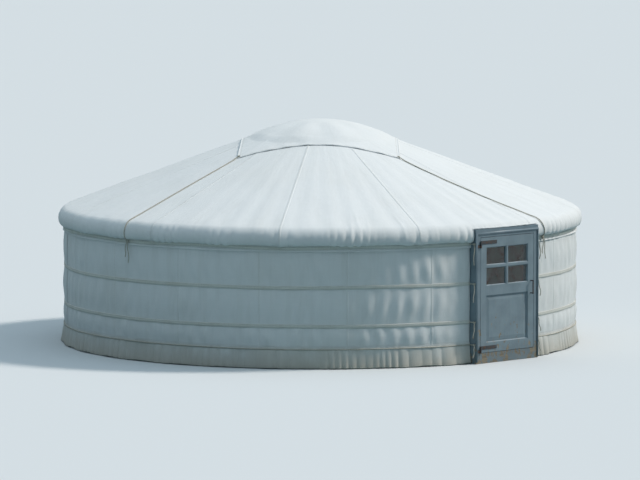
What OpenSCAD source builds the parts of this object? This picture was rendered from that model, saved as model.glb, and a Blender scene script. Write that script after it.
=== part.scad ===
/* [Wall] */
// Radius to the outer face of the wall's canvas
wall_r = 2975; // [2700:5:3200]
// Height of the top row of lath crossings above the ground
top_cross_h = 1470; // [1400:10:1600]
// Thickness of the felt on wall and roof
felt_t = 25; // [10:1:30]
// Thickness of the canvas on wall and roof
canvas_t = 3; // [2:0.5:4]

/* [Lattice] */
// Heads along the top of one lattice section
heads = 12; // [11:1:13]
// Width of a lath
lath_w = 30; // [26:1:34]
// Thickness of a lath
lath_t = 12; // [8:1:14]
// Height of the lowest row of crossings above the ground
foot_h = 70; // [60:2:80]
// Length of lath standing over the top crossings
head_over = 62; // [58:1:66]

/* [Roof] */
// Fall of the roof from the crown to the eave, as millimetres per metre
roof_fall = 371; // [340:1:400]
// Diameter of a roof pole
pole_d = 34; // [30:1:38]
// Inner radius of the bend over the eave
eave_bend_r = 60; // [55:1:70]
// Height of the roof canvas hem above the ground
hem_h = 1300; // [1260:10:1340]

/* [Crown] */
// Outer radius of the crown's ring
crown_r = 760; // [700:10:800]
// Width of the crown's ring
crown_w = 80; // [60:5:90]
// Height of the crown's ring
crown_h = 90; // [80:5:100]
// Outer radius of the crown's hub ring
hub_r = 260; // [220:10:300]
// Side of the square cloth over the crown
flap_side = 1860; // [1780:20:1900]

/* [Door] */
// Width of the door frame over its jambs
frame_w = 1000; // [960:10:1040]
// Width of a jamb
jamb_w = 70; // [60:5:80]
// Height of the threshold
threshold_h = 115; // [100:5:130]
// Height of the lintel
lintel_h = 90; // [80:5:100]
// Thickness of the door leaf
leaf_t = 40; // [36:1:44]

/* [Floor and posts] */
// Radius of the wooden floor
floor_r = 2850; // [2550:10:2860]
// Thickness of the floor boards
deck_t = 28; // [22:1:32]
// Height of the bearers under the floor
bearer_h = 52; // [40:1:60]
// Side of the square posts under the crown
post_side = 80; // [70:5:90]

/* [Ropes and belts] */
// Diameter of the ropes that hold the flap
rope_d = 14; // [10:1:16]
// Width of the wall's belts
belt_w = 40; // [30:5:50]
// Thickness of the wall's belts
belt_t = 5; // [3:1:6]

/* [Hidden] */

// A round wall this wide needs many steps to stay true
$fn = 256;
wood = "sienna";
cloth = "ivory";
slack = 1;

canvas_in = wall_r - canvas_t;
felt_out = canvas_in - slack;
felt_in = felt_out - felt_t;
lattice_out = felt_in - slack;
lattice_mid = lattice_out - lath_t;
lattice_in = lattice_mid - lath_t;

roof_a = atan(roof_fall / 1000);
roof_tan = roof_fall / 1000;
pole_r = pole_d / 2;

sections = 5;
door_pole_a = 4.2;
rows = 9;
row_h = (top_cross_h - foot_h) / (rows - 1);
door_gap = 56;
seam = 98;
door_a = asin((frame_w / 2 + door_gap) / lattice_mid);
seam_a = seam / lattice_mid * 180 / PI;
section_a = (360 - 2 * door_a - (sections - 1) * seam_a) / sections;
col_a = section_a / heads;
lath_a = atan(col_a / 2 * PI / 180 * lattice_mid / row_h);
end_over = 10;
side_over = lath_w / 2 / sin(lath_a) + end_over;

// A pole's end lies in the fork of two laths, clear of both by a third of a millimetre.
// The slanted pole's section in the wall is an ellipse, and fork_r is its reach towards a lath.
fork_past = 7;
fork_gap = 0.3;
pole_end_r = lattice_mid + fork_past;
fork_r = pole_r * sqrt(cos(lath_a) ^ 2 + (sin(lath_a) / cos(roof_a)) ^ 2);
pole_z = top_cross_h + (lath_w / 2 + fork_r + fork_gap) / sin(lath_a) + fork_past * roof_tan;
pole_turns = concat(
    [for (s = [0:sections - 1]) for (n = [0:heads - 1]) section_start(s) + (n + 0.5) * col_a],
    [for (n = [-1.5:1.5]) n * door_pole_a]);

// The ring's top is bevelled along the roof, as far in as the covers reach
bevel_w = 45;
ring_over = 20;
crown_top = pole_axis(crown_r) + ring_over + bevel_w * roof_tan;
crown_bottom = crown_top - crown_h;

// The roof's felt lies a little over the poles, bends over the eave and stays clear of the wall's top
felt_over = 5;
bend_in = 17;
wall_under = 8;
bend_c = lattice_mid - bend_in;
bend_z = pole_axis(bend_c) + (pole_r + felt_over - eave_bend_r) / cos(roof_a);
wall_top = bend_z + sqrt(eave_bend_r ^ 2 - (felt_out - bend_c) ^ 2) - wall_under;
hole_r = crown_r - bevel_w;

lintel_top = pole_axis(pole_end_r) - pole_r * cos(roof_a);
lintel_bottom = lintel_top - lintel_h;
frame_proud = 50;
frame_off = 10;
frame_front = wall_r + frame_proud;
frame_back = floor_r + frame_off;
opening_w = frame_w - 2 * jamb_w;
leaf_gap = 5;
leaf_w = opening_w - 2 * leaf_gap;
leaf_z0 = threshold_h + leaf_gap;
leaf_h = lintel_bottom - leaf_gap - leaf_z0;
stop_t = 30;
stop_w = 20;
wall_off = 4;
wall_a = asin((frame_w / 2 + wall_off) / felt_in);

function pole_axis(r) = pole_z + (lattice_mid - r) * roof_tan;

// Turns what lies along +X to the angle a round the yurt, counted from the doorway
module turned(a) rotate([0, 0, a - 90]) children();

module floor_deck() {
    color("peru") translate([0, 0, bearer_h]) cylinder(r = floor_r, h = deck_t);
}

module floor_bearers() {
    bearer_w = 80;
    pitch = 800;
    rim = 20;
    for (i = [-3:3]) {
        reach = sqrt((floor_r - rim) ^ 2 - (abs(i * pitch) + bearer_w / 2) ^ 2);
        color(wood) translate([i * pitch - bearer_w / 2, -reach, 0])
            cube([bearer_w, 2 * reach, bearer_h]);
    }
}

// Crossings lie where row + step is odd, and a step is half a head's spacing
steps = 2 * heads;
function row_first(i) = floor((i + 1) / 2) * heads + floor(i / 2) * (heads + 1);
function cross_at(i, p) = 8 * (row_first(i) + (i % 2 == 0 ? (p - 1) / 2 : p / 2));
crossings = [for (i = [0:rows - 1]) for (p = [0:steps]) if ((p + i) % 2 == 1) [i, p]];

// Laths leaning right are numbered by step - row, laths leaning left by step + row
right_laths = [for (d = [1 - rows:steps]) if (abs(d) % 2 == 1)
    [d, max(0, -d), min(rows - 1, steps - d)]];
left_laths = [for (e = [1:steps + rows - 2]) if (e % 2 == 1)
    [e, max(0, e - steps), min(rows - 1, e)]];

function on_wall(p, i, u, v, r) =
    let (a = p * col_a / 2 + u / lattice_mid * 180 / PI)
    [r * cos(a), r * sin(a), foot_h + i * row_h + v];

half_u = lath_w / 2 / cos(lath_a);
half_v = lath_w / 2 / sin(lath_a);

// Top, right, bottom and left corner of a crossing, then its edges' middles on both faces
function cross_points(c) = [
    on_wall(c[1], c[0], 0, half_v, lattice_mid),
    on_wall(c[1], c[0], half_u, 0, lattice_mid),
    on_wall(c[1], c[0], 0, -half_v, lattice_mid),
    on_wall(c[1], c[0], -half_u, 0, lattice_mid),
    on_wall(c[1], c[0], -half_u / 2, half_v / 2, lattice_out),
    on_wall(c[1], c[0], half_u / 2, -half_v / 2, lattice_out),
    on_wall(c[1], c[0], -half_u / 2, -half_v / 2, lattice_in),
    on_wall(c[1], c[0], half_u / 2, half_v / 2, lattice_in)];

function low_over(i) = i == 0 ? -foot_h : -side_over;
function high_over(i) = i == rows - 1 ? head_over : side_over;

// The four corners of a lath's end: left and right on the middle face, then on the far face
function end_points(p, i, v, lean, face_r) =
    [for (r = [lattice_mid, face_r]) for (side = [-1, 1])
        on_wall(p, i, side * half_u + lean * v * tan(lath_a), v, r)];

function lath_points(lath, lean, face_r) = let (n = lath[0], lo = lath[1], hi = lath[2])
    concat(end_points(n + lean * lo, lo, low_over(lo), lean, face_r),
        end_points(n + lean * hi, hi, high_over(hi), lean, face_r));

function quad(a, b, c, d) = [[a, b, c], [a, c, d]];

// Corners named by their place: T, R, B, L of the crossing, M and N its two far points
function right_faces(lath, e) =
    let (lo = lath[1], hi = lath[2], k = [for (i = [lo:hi]) cross_at(i, lath[0] + i)], z = len(k) - 1)
    concat(
        quad(e, e + 2, e + 3, e + 1), quad(e + 4, e + 5, e + 7, e + 6),
        quad(e + 2, k[0] + 4, k[0] + 5, e + 3), quad(k[z] + 4, e + 6, e + 7, k[z] + 5),
        quad(e, k[0] + 3, k[0] + 4, e + 2), quad(k[z], e + 4, e + 6, k[z] + 4),
        quad(e + 1, e + 3, k[0] + 5, k[0] + 2), quad(k[z] + 1, k[z] + 5, e + 7, e + 5),
        quad(e, e + 1, k[0] + 2, k[0] + 3), quad(k[z], k[z] + 1, e + 5, e + 4),
        [for (c = k) each [[c + 3, c, c + 4], [c + 2, c + 5, c + 1]]],
        [for (n = [0:1:z - 1]) let (a = k[n], b = k[n + 1]) each concat(
            quad(a + 4, b + 4, b + 5, a + 5), quad(a, b + 3, b + 4, a + 4),
            quad(a + 1, a + 5, b + 5, b + 2), quad(a, a + 1, b + 2, b + 3))]);

function left_faces(lath, e) =
    let (lo = lath[1], hi = lath[2], k = [for (i = [lo:hi]) cross_at(i, lath[0] - i)], z = len(k) - 1)
    concat(
        quad(e + 2, e, e + 1, e + 3), quad(e + 6, e + 7, e + 5, e + 4),
        quad(e + 2, e + 3, k[0] + 7, k[0] + 6), quad(k[z] + 6, k[z] + 7, e + 7, e + 6),
        quad(e + 2, k[0] + 6, k[0] + 2, e), quad(k[z] + 6, e + 6, e + 4, k[z] + 3),
        quad(e + 3, e + 1, k[0] + 1, k[0] + 7), quad(k[z] + 7, k[z], e + 5, e + 7),
        quad(e, k[0] + 2, k[0] + 1, e + 1), quad(k[z] + 3, e + 4, e + 5, k[z]),
        [for (c = k) each [[c + 6, c + 3, c + 2], [c + 7, c + 1, c]]],
        [for (n = [0:1:z - 1]) let (a = k[n], b = k[n + 1]) each concat(
            quad(a + 6, a + 7, b + 7, b + 6), quad(a + 6, b + 6, b + 2, a + 3),
            quad(a + 7, a, b + 1, b + 7), quad(a + 3, b + 2, b + 1, a))]);

// One section of crossed laths: those leaning right lie outside those leaning left
module lattice(s) {
    right_start = 8 * len(crossings);
    left_start = right_start + 8 * len(right_laths);
    points = concat([for (c = crossings) each cross_points(c)],
        [for (l = right_laths) each lath_points(l, 1, lattice_out)],
        [for (l = left_laths) each lath_points(l, -1, lattice_in)]);
    faces = concat(
        [for (n = [0:len(right_laths) - 1]) each right_faces(right_laths[n], right_start + 8 * n)],
        [for (n = [0:len(left_laths) - 1]) each left_faces(left_laths[n], left_start + 8 * n)]);
    color(wood) turned(section_start(s)) polyhedron(points, faces);
}

function section_start(s) = door_a + s * (section_a + seam_a);

// A pole from the wall up to the crown's ring, along +X, with a squared tip that sits in the ring's slot
tip_side = 21;
tip_in = 38;
tip_root = 10;
pole_long = (pole_end_r - crown_r - pole_r * sin(roof_a) - 0.5) / cos(roof_a);
module along_pole() translate([pole_end_r, 0, pole_axis(pole_end_r)]) rotate([0, roof_a - 90, 0]) children();
module pole() {
    along_pole() union() {
        cylinder(r = pole_r, h = pole_long, $fn = 24);
        translate([-tip_side / 2, -tip_side / 2, pole_long - tip_root])
            cube([tip_side, tip_side, tip_root + tip_in]);
    }
}

slot_gap = 1;
slot_out = 20;
module pole_slot() {
    side = tip_side + 2 * slot_gap;
    along_pole() translate([-side / 2, -side / 2, pole_long - slot_out])
        cube([side, side, slot_out + tip_in + slot_gap]);
}

module roof_poles(s) {
    color("firebrick") for (n = [0:heads - 1])
        turned(section_start(s) + (n + 0.5) * col_a) pole();
}

module roof_poles_door() {
    color("firebrick") for (n = [-1.5:1.5]) turned(n * door_pole_a) pole();
}

module crown_ring() {
    color("firebrick") difference() {
        rotate_extrude() polygon([[crown_r - crown_w, crown_bottom], [crown_r, crown_bottom],
            [crown_r, crown_top - bevel_w * roof_tan], [crown_r - bevel_w, crown_top],
            [crown_r - crown_w, crown_top]]);
        for (a = pole_turns) turned(a) pole_slot();
    }
}

spoke_w = 40;
spoke_h = 48;
spoke_foot = 55;
spoke_off = 4;
spoke_end_r = hole_r - spoke_off;
spoke_bow_r = 1790;
spoke_rise = spoke_bow_r - sqrt(spoke_bow_r ^ 2 - spoke_end_r ^ 2);
crown_peak = crown_top + spoke_foot + spoke_rise;

// A bowed beam across the crown, with a foot at each end that stands on the ring
module bowed_beam() {
    foot_w = 32;
    foot_in = 8;
    intersection() {
        translate([0, 0, crown_peak - spoke_bow_r]) rotate([90, 0, 0]) difference() {
            cylinder(r = spoke_bow_r, h = spoke_w, center = true);
            cylinder(r = spoke_bow_r - spoke_h, h = spoke_w + 2, center = true);
        }
        translate([-spoke_end_r, -spoke_w, crown_top]) cube([2 * spoke_end_r, 2 * spoke_w, 400]);
    }
    for (side = [-1, 1]) translate([side * (spoke_end_r - foot_w / 2) - foot_w / 2, -spoke_w / 2, crown_top])
        cube([foot_w, spoke_w, spoke_foot - foot_in]);
}

module crown_spokes() {
    hub_h = 50;
    hub_w = 55;
    hub_in = 6;
    hub_top = crown_peak - spoke_h + hub_in;
    color("firebrick") union() {
        for (n = [0:3]) rotate([0, 0, 22.5 + 45 * n]) bowed_beam();
        translate([0, 0, hub_top - hub_h]) difference() {
            cylinder(r = hub_r, h = hub_h);
            translate([0, 0, -1]) cylinder(r = hub_r - hub_w, h = hub_h + 2);
        }
    }
}

// A square post with a spreading head that carries the crown's ring
module post(side) {
    head_h = 150;
    head_len = 620;
    head_w = 60;
    tip_h = 50;
    overhang = (head_len - post_side) / 2;
    cove = [for (t = [0:10:90]) [post_side / 2 + overhang * (1 - cos(t)), (head_h - tip_h) * sin(t)]];
    floor_z = bearer_h + deck_t;
    x = side * (crown_r - crown_w / 2);
    color("firebrick") union() {
        translate([x - post_side / 2, -post_side / 2, floor_z])
            cube([post_side, post_side, crown_bottom - head_h - floor_z + 1]);
        translate([x + head_w / 2, 0, crown_bottom - head_h]) rotate([90, 0, -90])
            linear_extrude(head_w) polygon(concat(cove, [[head_len / 2, head_h], [-head_len / 2, head_h]],
                [for (c = reversed(cove)) [-c[0], c[1]]]));
    }
}

// An arc of a turned profile, from the angle a on through the angle span
module arc_of(a, span) turned(a) rotate_extrude(angle = span) children();

wall_span = (360 - 2 * wall_a) / 3;
piece_gap_a = 0.03;
module wall_piece(n, r_in, r_out, z0, z1) {
    arc_of(wall_a + n * wall_span + piece_gap_a, wall_span - 2 * piece_gap_a)
        translate([r_in, z0]) square([r_out - r_in, z1 - z0]);
}

module wall_felt(n) color("lightgray") wall_piece(n, felt_in, felt_out, 0, wall_top);
canvas_foot = 5;
canvas_under = 14;
module wall_canvas(n) color(cloth) wall_piece(n, canvas_in, wall_r, canvas_foot, wall_top - canvas_under);

skirt_h = 240;
skirt_t = 4;
skirt_flare = 26;
flare_h = 90;
module base_skirt(n) {
    r = wall_r + slack;
    color(cloth) arc_of(wall_a + n * wall_span + piece_gap_a, wall_span - 2 * piece_gap_a)
        polygon([[r, skirt_h], [r, flare_h], [r + skirt_flare, 0],
            [r + skirt_flare + skirt_t, 0], [r + skirt_t, flare_h], [r + skirt_t, skirt_h]]);
}

// Height of the roof surface that lies at the distance r from the centre of the eave's bend
function roof_line(r, x) = bend_z + r / cos(roof_a) + (bend_c - x) * roof_tan;
bend_steps = 7;
function bend_arc(r) = [for (n = [0:bend_steps]) let (b = roof_a + (90 - roof_a) * n / bend_steps)
    [bend_c + r * sin(b), bend_z + r * cos(b)]];

function reversed(list) = [for (n = [len(list) - 1:-1:0]) list[n]];

// Section through a roof layer, from the hole at the crown over the eave to its hem
function layer_profile(r_in, r_out, hem_in, hem_out) = concat(
    [[hole_r, roof_line(r_in, hole_r)]], bend_arc(r_in), hem_in,
    hem_out, reversed(bend_arc(r_out)), [[hole_r, roof_line(r_out, hole_r)]]);

roof_drop = 60;
frame_clear = 6;
felt_low = bend_z - roof_drop;
felt_bend = eave_bend_r + felt_t;
canvas_bend = felt_bend + slack;
module roof_layer(side, profile) {
    difference() {
        arc_of(side * 180 - 90 + piece_gap_a, 180 - 2 * piece_gap_a) polygon(profile);
        translate([-frame_w / 2 - frame_clear, -frame_front - 100, 0])
            cube([frame_w + 2 * frame_clear, 300, lintel_top + 0.5]);
    }
}

module roof_felt(side) {
    color("lightgray") roof_layer(side, layer_profile(eave_bend_r, felt_bend,
        [[bend_c + eave_bend_r, felt_low]], [[bend_c + felt_bend, felt_low]]));
}

tuck_gap = 4;
tuck_r = wall_r + tuck_gap;
tuck_z = hem_h + 75;
hem_belt_z = hem_h + 45;
module roof_canvas(side) {
    r1 = bend_c + canvas_bend;
    color(cloth) roof_layer(side, layer_profile(canvas_bend, canvas_bend + canvas_t,
        [[r1, felt_low], [tuck_r, tuck_z], [tuck_r, hem_h]],
        [[tuck_r + canvas_t, hem_h], [tuck_r + canvas_t, tuck_z], [r1 + canvas_t, felt_low]]));
}

// Height of the flap over the crown: a bowl's curve, then an easing onto the roof, then its slope
flap_t = 4;
flap_bow_end = 720;
flap_lie = 1180;
flap_over_roof = 2;
flap_over_spokes = 3;
function on_roof(x) = roof_line(canvas_bend + canvas_t, x) + flap_over_roof;
function bow(x) = crown_peak + flap_over_spokes - x ^ 2 / (2 * spoke_bow_r);
function eased(x) = let (t = (x - flap_bow_end) / (flap_lie - flap_bow_end), d = flap_lie - flap_bow_end)
    bow(flap_bow_end) * (2 * t ^ 3 - 3 * t ^ 2 + 1) + on_roof(flap_lie) * (3 * t ^ 2 - 2 * t ^ 3)
    - d * flap_bow_end / spoke_bow_r * (t ^ 3 - 2 * t ^ 2 + t) - d * roof_tan * (t ^ 3 - t ^ 2);
function flap_line(x) = x <= flap_bow_end ? bow(x) : x < flap_lie ? eased(x) : on_roof(x);

module crown_flap() {
    stations = [for (x = [0:120:600]) x, 720, 790, 860, 930, 1020, 1180, 1400];
    color(cloth) intersection() {
        rotate_extrude() polygon(concat([for (x = stations) [x, flap_line(x)]],
            [for (x = reversed(stations)) [x, flap_line(x) + flap_t]]));
        rotate([0, 0, 45]) translate([-flap_side / 2, -flap_side / 2, 0])
            cube([flap_side, flap_side, crown_peak + 200]);
    }
}

// Centre line of a flap rope in section: down the slope, over the eave and across the top belt
rope_lie = canvas_bend + canvas_t + rope_d / 2 + slack;
rope_off = 6;
rope_ends = [12, 14];
rope_from = flap_side / sqrt(2) + rope_off;
rope_over_belt = tuck_r + canvas_t + slack + belt_t + slack + rope_d / 2;
rope_line = concat(
    [for (n = [0:11]) let (x = rope_from + (bend_c - rope_from) * n / 12) [x, roof_line(rope_lie, x)]],
    bend_arc(rope_lie), [[bend_c + rope_lie, felt_low],
        [rope_over_belt, hem_belt_z + belt_w / 2 + rope_ends[0]],
        [rope_over_belt, hem_belt_z - belt_w / 2 - rope_ends[1]]]);

// A rope swept along that line with six sides, while it turns from its corner to its place on the belt
module flap_rope(corner_a, foot_a) {
    sides = 6;
    last = len(rope_line) - 1;
    points = [for (n = [0:last]) let (
            a = corner_a + (foot_a - corner_a) * n / last - 90,
            p = rope_line[n],
            way = rope_line[min(last, n + 1)] - rope_line[max(0, n - 1)],
            out = [-way[1], way[0]] / norm(way))
        for (k = [0:sides - 1]) let (
            u = rope_d / 2 * cos(k * 360 / sides), v = rope_d / 2 * sin(k * 360 / sides),
            r = p[0] + u * out[0])
        [r * cos(a) - v * sin(a), r * sin(a) + v * cos(a), p[1] + u * out[1]]];
    faces = concat([[for (k = [0:sides - 1]) k]], [[for (k = [sides - 1:-1:0]) last * sides + k]],
        [for (n = [0:last - 1]) for (k = [0:sides - 1]) let (j = (k + 1) % sides)
            [n * sides + j, n * sides + k, (n + 1) * sides + k, (n + 1) * sides + j]]);
    polyhedron(points, faces);
}

module flap_ropes() {
    color("tan") {
        flap_rope(0, 13.2);
        for (a = [90, 180, 270]) flap_rope(a, a);
    }
}

belt_heights = [470, 900, hem_belt_z];
module wall_belts() {
    belt_off = 8;
    belt_a = asin((frame_w / 2 + belt_off) / wall_r);
    radii = [wall_r + slack, wall_r + slack, tuck_r + canvas_t + slack];
    color("wheat") for (n = [0:2]) arc_of(belt_a, 360 - 2 * belt_a)
        translate([radii[n], belt_heights[n] - belt_w / 2]) square([belt_t, belt_w]);
}

// The leaf shuts against stops on the jambs and under the lintel
stop_y = -frame_front + leaf_t + leaf_gap;
module jamb(side) {
    x0 = opening_w / 2;
    color("steelblue") union() {
        translate([side > 0 ? x0 : -x0 - jamb_w, -frame_front, threshold_h])
            cube([jamb_w, frame_front - frame_back, lintel_bottom - threshold_h]);
        translate([side > 0 ? x0 - stop_w : -x0 - 1, stop_y, threshold_h])
            cube([stop_w + 1, stop_t, lintel_bottom - threshold_h]);
    }
}

module door_lintel() {
    stop_long = opening_w - 2 * stop_w;
    color("steelblue") union() {
        translate([-frame_w / 2, -frame_front, lintel_bottom])
            cube([frame_w, frame_front - frame_back, lintel_h]);
        translate([-stop_long / 2, stop_y, lintel_bottom - stop_w]) cube([stop_long, stop_t, stop_w + 1]);
    }
}

module door_threshold() {
    color("steelblue") translate([-frame_w / 2, -frame_front, 0])
        cube([frame_w, frame_front - frame_back, threshold_h]);
}

stile_w = 90;
rail_h = 110;

// The hinge axis stands between jamb and leaf, in front of both
hinge_x = -opening_w / 2 - 2;
hinge_y = -frame_front - 11;
knuckle_r = 9;
pin_r = 5;
pin_gap = 0.05;
pin_over = 4;
knuckle_h = 38;
knuckle_gap = 1;
strap_t = 5;
jamb_strap = 48;
leaf_strap = 260;

// Each strap on the leaf lies along the middle of its rail, and its mate on the jamb stands below it
strap_up = knuckle_h + knuckle_gap;
strap_mid = strap_up + knuckle_h / 2;
hinge_heights = [leaf_z0 + rail_h / 2 - strap_mid, leaf_z0 + leaf_h - rail_h / 2 - strap_mid];

module strap(length, side) {
    translate([side > 0 ? hinge_x : hinge_x - length, -frame_front - strap_t, 0])
        cube([length, strap_t, knuckle_h]);
    translate([hinge_x, hinge_y, 0]) cylinder(r = knuckle_r, h = knuckle_h, $fn = 32);
}

module door_hinge_pins() {
    color("dimgray") for (z = hinge_heights) translate([0, 0, z]) union() {
        strap(jamb_strap, -1);
        translate([hinge_x, hinge_y, 0]) cylinder(r = pin_r, h = 2 * knuckle_h + pin_over, $fn = 32);
    }
}

module door_hinge_straps() {
    color("dimgray") for (z = hinge_heights) translate([0, 0, z + strap_up]) difference() {
        strap(leaf_strap, 1);
        translate([hinge_x, hinge_y, -1]) cylinder(r = pin_r + pin_gap, h = knuckle_h + 2, $fn = 32);
    }
}

mid_rail_z = leaf_z0 + 640;
muntin_w = 26;
light_z = mid_rail_z + rail_h;
light_h = leaf_z0 + leaf_h - rail_h - light_z;
field_w = leaf_w - 2 * stile_w;
pane_w = (field_w - muntin_w) / 2;
pane_h = (light_h - muntin_w) / 2;

// Puts its children at the lower left corner of each of the four lights, on the leaf's front
module each_light() for (x = [-field_w / 2, muntin_w / 2], z = [light_z, light_z + pane_h + muntin_w])
    translate([x, -frame_front, z]) children();

module door_leaf() {
    color("steelblue") difference() {
        translate([-leaf_w / 2, -frame_front, leaf_z0]) cube([leaf_w, leaf_t, leaf_h]);
        translate([-field_w / 2, -frame_front - 1, leaf_z0 + rail_h])
            cube([field_w, leaf_t + 2, mid_rail_z - leaf_z0 - rail_h]);
        each_light() translate([0, -1, 0]) cube([pane_w, leaf_t + 2, pane_h]);
    }
}

// A panel with a raised field: its sloping margins rise from the grooves in the stiles and rails
module door_panels() {
    field_h = mid_rail_z - leaf_z0 - rail_h;
    margin = 55;
    back_y = 28;
    back_t = 8;
    rise = 9;
    color("steelblue") translate([-field_w / 2, -frame_front + back_y, leaf_z0 + rail_h]) hull() {
        translate([0, -back_t, 0]) cube([field_w, back_t, field_h]);
        translate([margin, -back_t - rise, margin]) cube([field_w - 2 * margin, 1, field_h - 2 * margin]);
    }
}

module door_glass() {
    glass_in = 18;
    glass_t = 4;
    color("lightblue") each_light() translate([0, glass_in, 0]) cube([pane_w, glass_t, pane_h]);
}

module door_handle() {
    x = leaf_w / 2 - stile_w / 2;
    z = mid_rail_z - 20;
    span = 140;
    past = 10;
    proud = 40;
    color("dimgray") union() {
        for (dz = [0, span]) translate([x, -frame_front, z + dz]) rotate([90, 0, 0])
            cylinder(r = 6, h = proud, $fn = 24);
        translate([x, -frame_front - proud, z - past]) cylinder(r = 8, h = span + 2 * past, $fn = 24);
    }
}

floor_deck();
floor_bearers();
lattice(0);  // lattice_1
lattice(1);  // lattice_2
lattice(2);  // lattice_3
lattice(3);  // lattice_4
lattice(4);  // lattice_5
jamb(-1);  // door_jamb_left
jamb(1);  // door_jamb_right
door_lintel();
door_threshold();
door_hinge_pins();
roof_poles(0);  // roof_poles_1
roof_poles(1);  // roof_poles_2
roof_poles(2);  // roof_poles_3
roof_poles(3);  // roof_poles_4
roof_poles(4);  // roof_poles_5
roof_poles_door();
crown_ring();
crown_spokes();
post(-1);  // post_left
post(1);  // post_right
wall_felt(0);  // wall_felt_right
wall_felt(1);  // wall_felt_back
wall_felt(2);  // wall_felt_left
wall_canvas(0);  // wall_canvas_right
wall_canvas(1);  // wall_canvas_back
wall_canvas(2);  // wall_canvas_left
base_skirt(0);  // base_skirt_right
base_skirt(1);  // base_skirt_back
base_skirt(2);  // base_skirt_left
roof_felt(0);  // roof_felt_front
roof_felt(1);  // roof_felt_back
roof_canvas(0);  // roof_canvas_front
roof_canvas(1);  // roof_canvas_back
crown_flap();
flap_ropes();
wall_belts();
door_leaf();
door_panels();
door_glass();
door_hinge_straps();
door_handle();
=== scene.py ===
# %% [markdown]
# A round felt tent house, dressed
#
# The frame comes from the solid model: every piece there stands at its real place and size, in metres,
# with the ground at height 0 and the doorway facing -Y. This lesson gives each surface its finish and
# makes the soft covers, ropes and small fittings that a solid model leaves plain.

import math

import bpy
import numpy as np
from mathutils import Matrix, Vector


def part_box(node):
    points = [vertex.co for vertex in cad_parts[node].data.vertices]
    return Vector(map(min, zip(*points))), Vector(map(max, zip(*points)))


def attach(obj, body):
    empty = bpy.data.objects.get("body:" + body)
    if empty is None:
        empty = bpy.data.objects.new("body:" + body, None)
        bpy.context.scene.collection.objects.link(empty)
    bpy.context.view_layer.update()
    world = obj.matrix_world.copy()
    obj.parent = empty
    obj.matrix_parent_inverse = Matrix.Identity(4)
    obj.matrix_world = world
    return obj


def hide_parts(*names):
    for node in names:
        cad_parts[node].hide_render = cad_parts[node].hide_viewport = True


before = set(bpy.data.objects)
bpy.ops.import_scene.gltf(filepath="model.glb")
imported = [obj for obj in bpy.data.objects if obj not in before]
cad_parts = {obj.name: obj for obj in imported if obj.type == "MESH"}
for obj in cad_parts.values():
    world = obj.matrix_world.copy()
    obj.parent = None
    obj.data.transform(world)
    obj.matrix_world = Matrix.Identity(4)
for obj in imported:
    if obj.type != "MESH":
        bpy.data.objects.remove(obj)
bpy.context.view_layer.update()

# %% [markdown]
# Measures that several pieces share
#
# The covers follow the solid model's own surfaces, so their sizes are read from its boxes. Only the
# slope, the hole, the bend over the eave, the belts and the counts and gaps of laths and poles are
# written again here, because a box doesn't tell them. Angles are counted from the doorway, to the left
# as seen from above. A cloth's flat measures round the yurt are its angle times one middle radius.

# %% Read the sizes from the frame
cover_low, cover_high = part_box("roof_canvas_back")
wall_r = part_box("wall_canvas_back")[1].y
wall_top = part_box("wall_canvas_back")[1].z
eave_r = cover_high.y
hem_z = cover_low.z
lintel_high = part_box("door_lintel")[1]
jamb_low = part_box("door_jamb_right")[0]
leaf_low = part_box("door_leaf")[0]
glass_low, glass_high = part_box("door_glass")
panel_low, panel_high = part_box("door_panels")
floor_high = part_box("floor_deck")[1]
skirt_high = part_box("base_skirt_back")[1]

roof_fall = 0.371
roof_slope = math.atan(roof_fall)
hole_r = 0.715
eave_bend = 0.089
tuck_r = wall_r + 0.007
tuck_z = hem_z + 0.075
belt_heights = (0.47, 0.90, hem_z + 0.045)
roof_cloth_r, wall_cloth_r = 2.9, 2.97
sides = ("right", "back", "left")
quarter = math.pi / 2

# %% Places of the wall sections and the poles
sections, heads, rows_of_crossings = 5, 12, 9
lath_r, foot_z, top_cross_z = 2.933, 0.07, 1.47
door_gap, section_gap, door_pole_step = 0.056, 0.098, 4.2
door_half_angle = math.asin((lintel_high.x + door_gap) / lath_r)
seam_angle = section_gap / lath_r
section_angle = (2 * math.pi - 2 * door_half_angle - (sections - 1) * seam_angle) / sections
head_angle = section_angle / heads
section_starts = door_half_angle + np.arange(sections) * (section_angle + seam_angle)
wall_poles = (section_starts[:, None] + (np.arange(heads) + 0.5) * head_angle).ravel()
door_poles = np.radians(np.arange(-1.5, 2) * door_pole_step)
pole_angles = np.sort(np.concatenate([wall_poles, door_poles % (2 * np.pi)]))
print("wall radius", round(wall_r, 4), "eave", round(eave_r, 4), "poles", len(pole_angles))

# %% [markdown]
# Making meshes from formulas
#
# A cloth, a rope and a band are all grids of points bent into shape. One helper turns a grid into
# quads, one carries a round section along a path, and one puts the arrays into a mesh that rides on
# its body. Rows run upwards and columns to the left round the yurt, which makes the faces look out.


# %% Helpers for grids
def around(a, r, z):
    """Points at the angle a from the doorway, r from the middle and z high: (r sin a, -r cos a, z)."""
    return np.stack(np.broadcast_arrays(r * np.sin(a), -r * np.cos(a), z), axis=-1).astype(float)


def grid_faces(rows, columns, closed=False):
    """Quads between neighbours of a grid numbered row by row; closed joins the last column to the first."""
    c = np.arange(columns if closed else columns - 1)
    r = np.arange(rows - 1)[:, None] * columns
    after = (c + 1) % columns
    return np.stack([r + c, r + after, r + after + columns, r + c + columns], -1).reshape(-1, 4)


def cloth(points, u, v):
    """The points, faces and UVs of a grid: the UVs are the cloth's own measures, u along and v up it."""
    rows, columns = points.shape[:2]
    uv = np.stack(np.broadcast_arrays(u, v), -1)
    return points.reshape(-1, 3), grid_faces(rows, columns).tolist(), uv.reshape(-1, 2)


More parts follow.
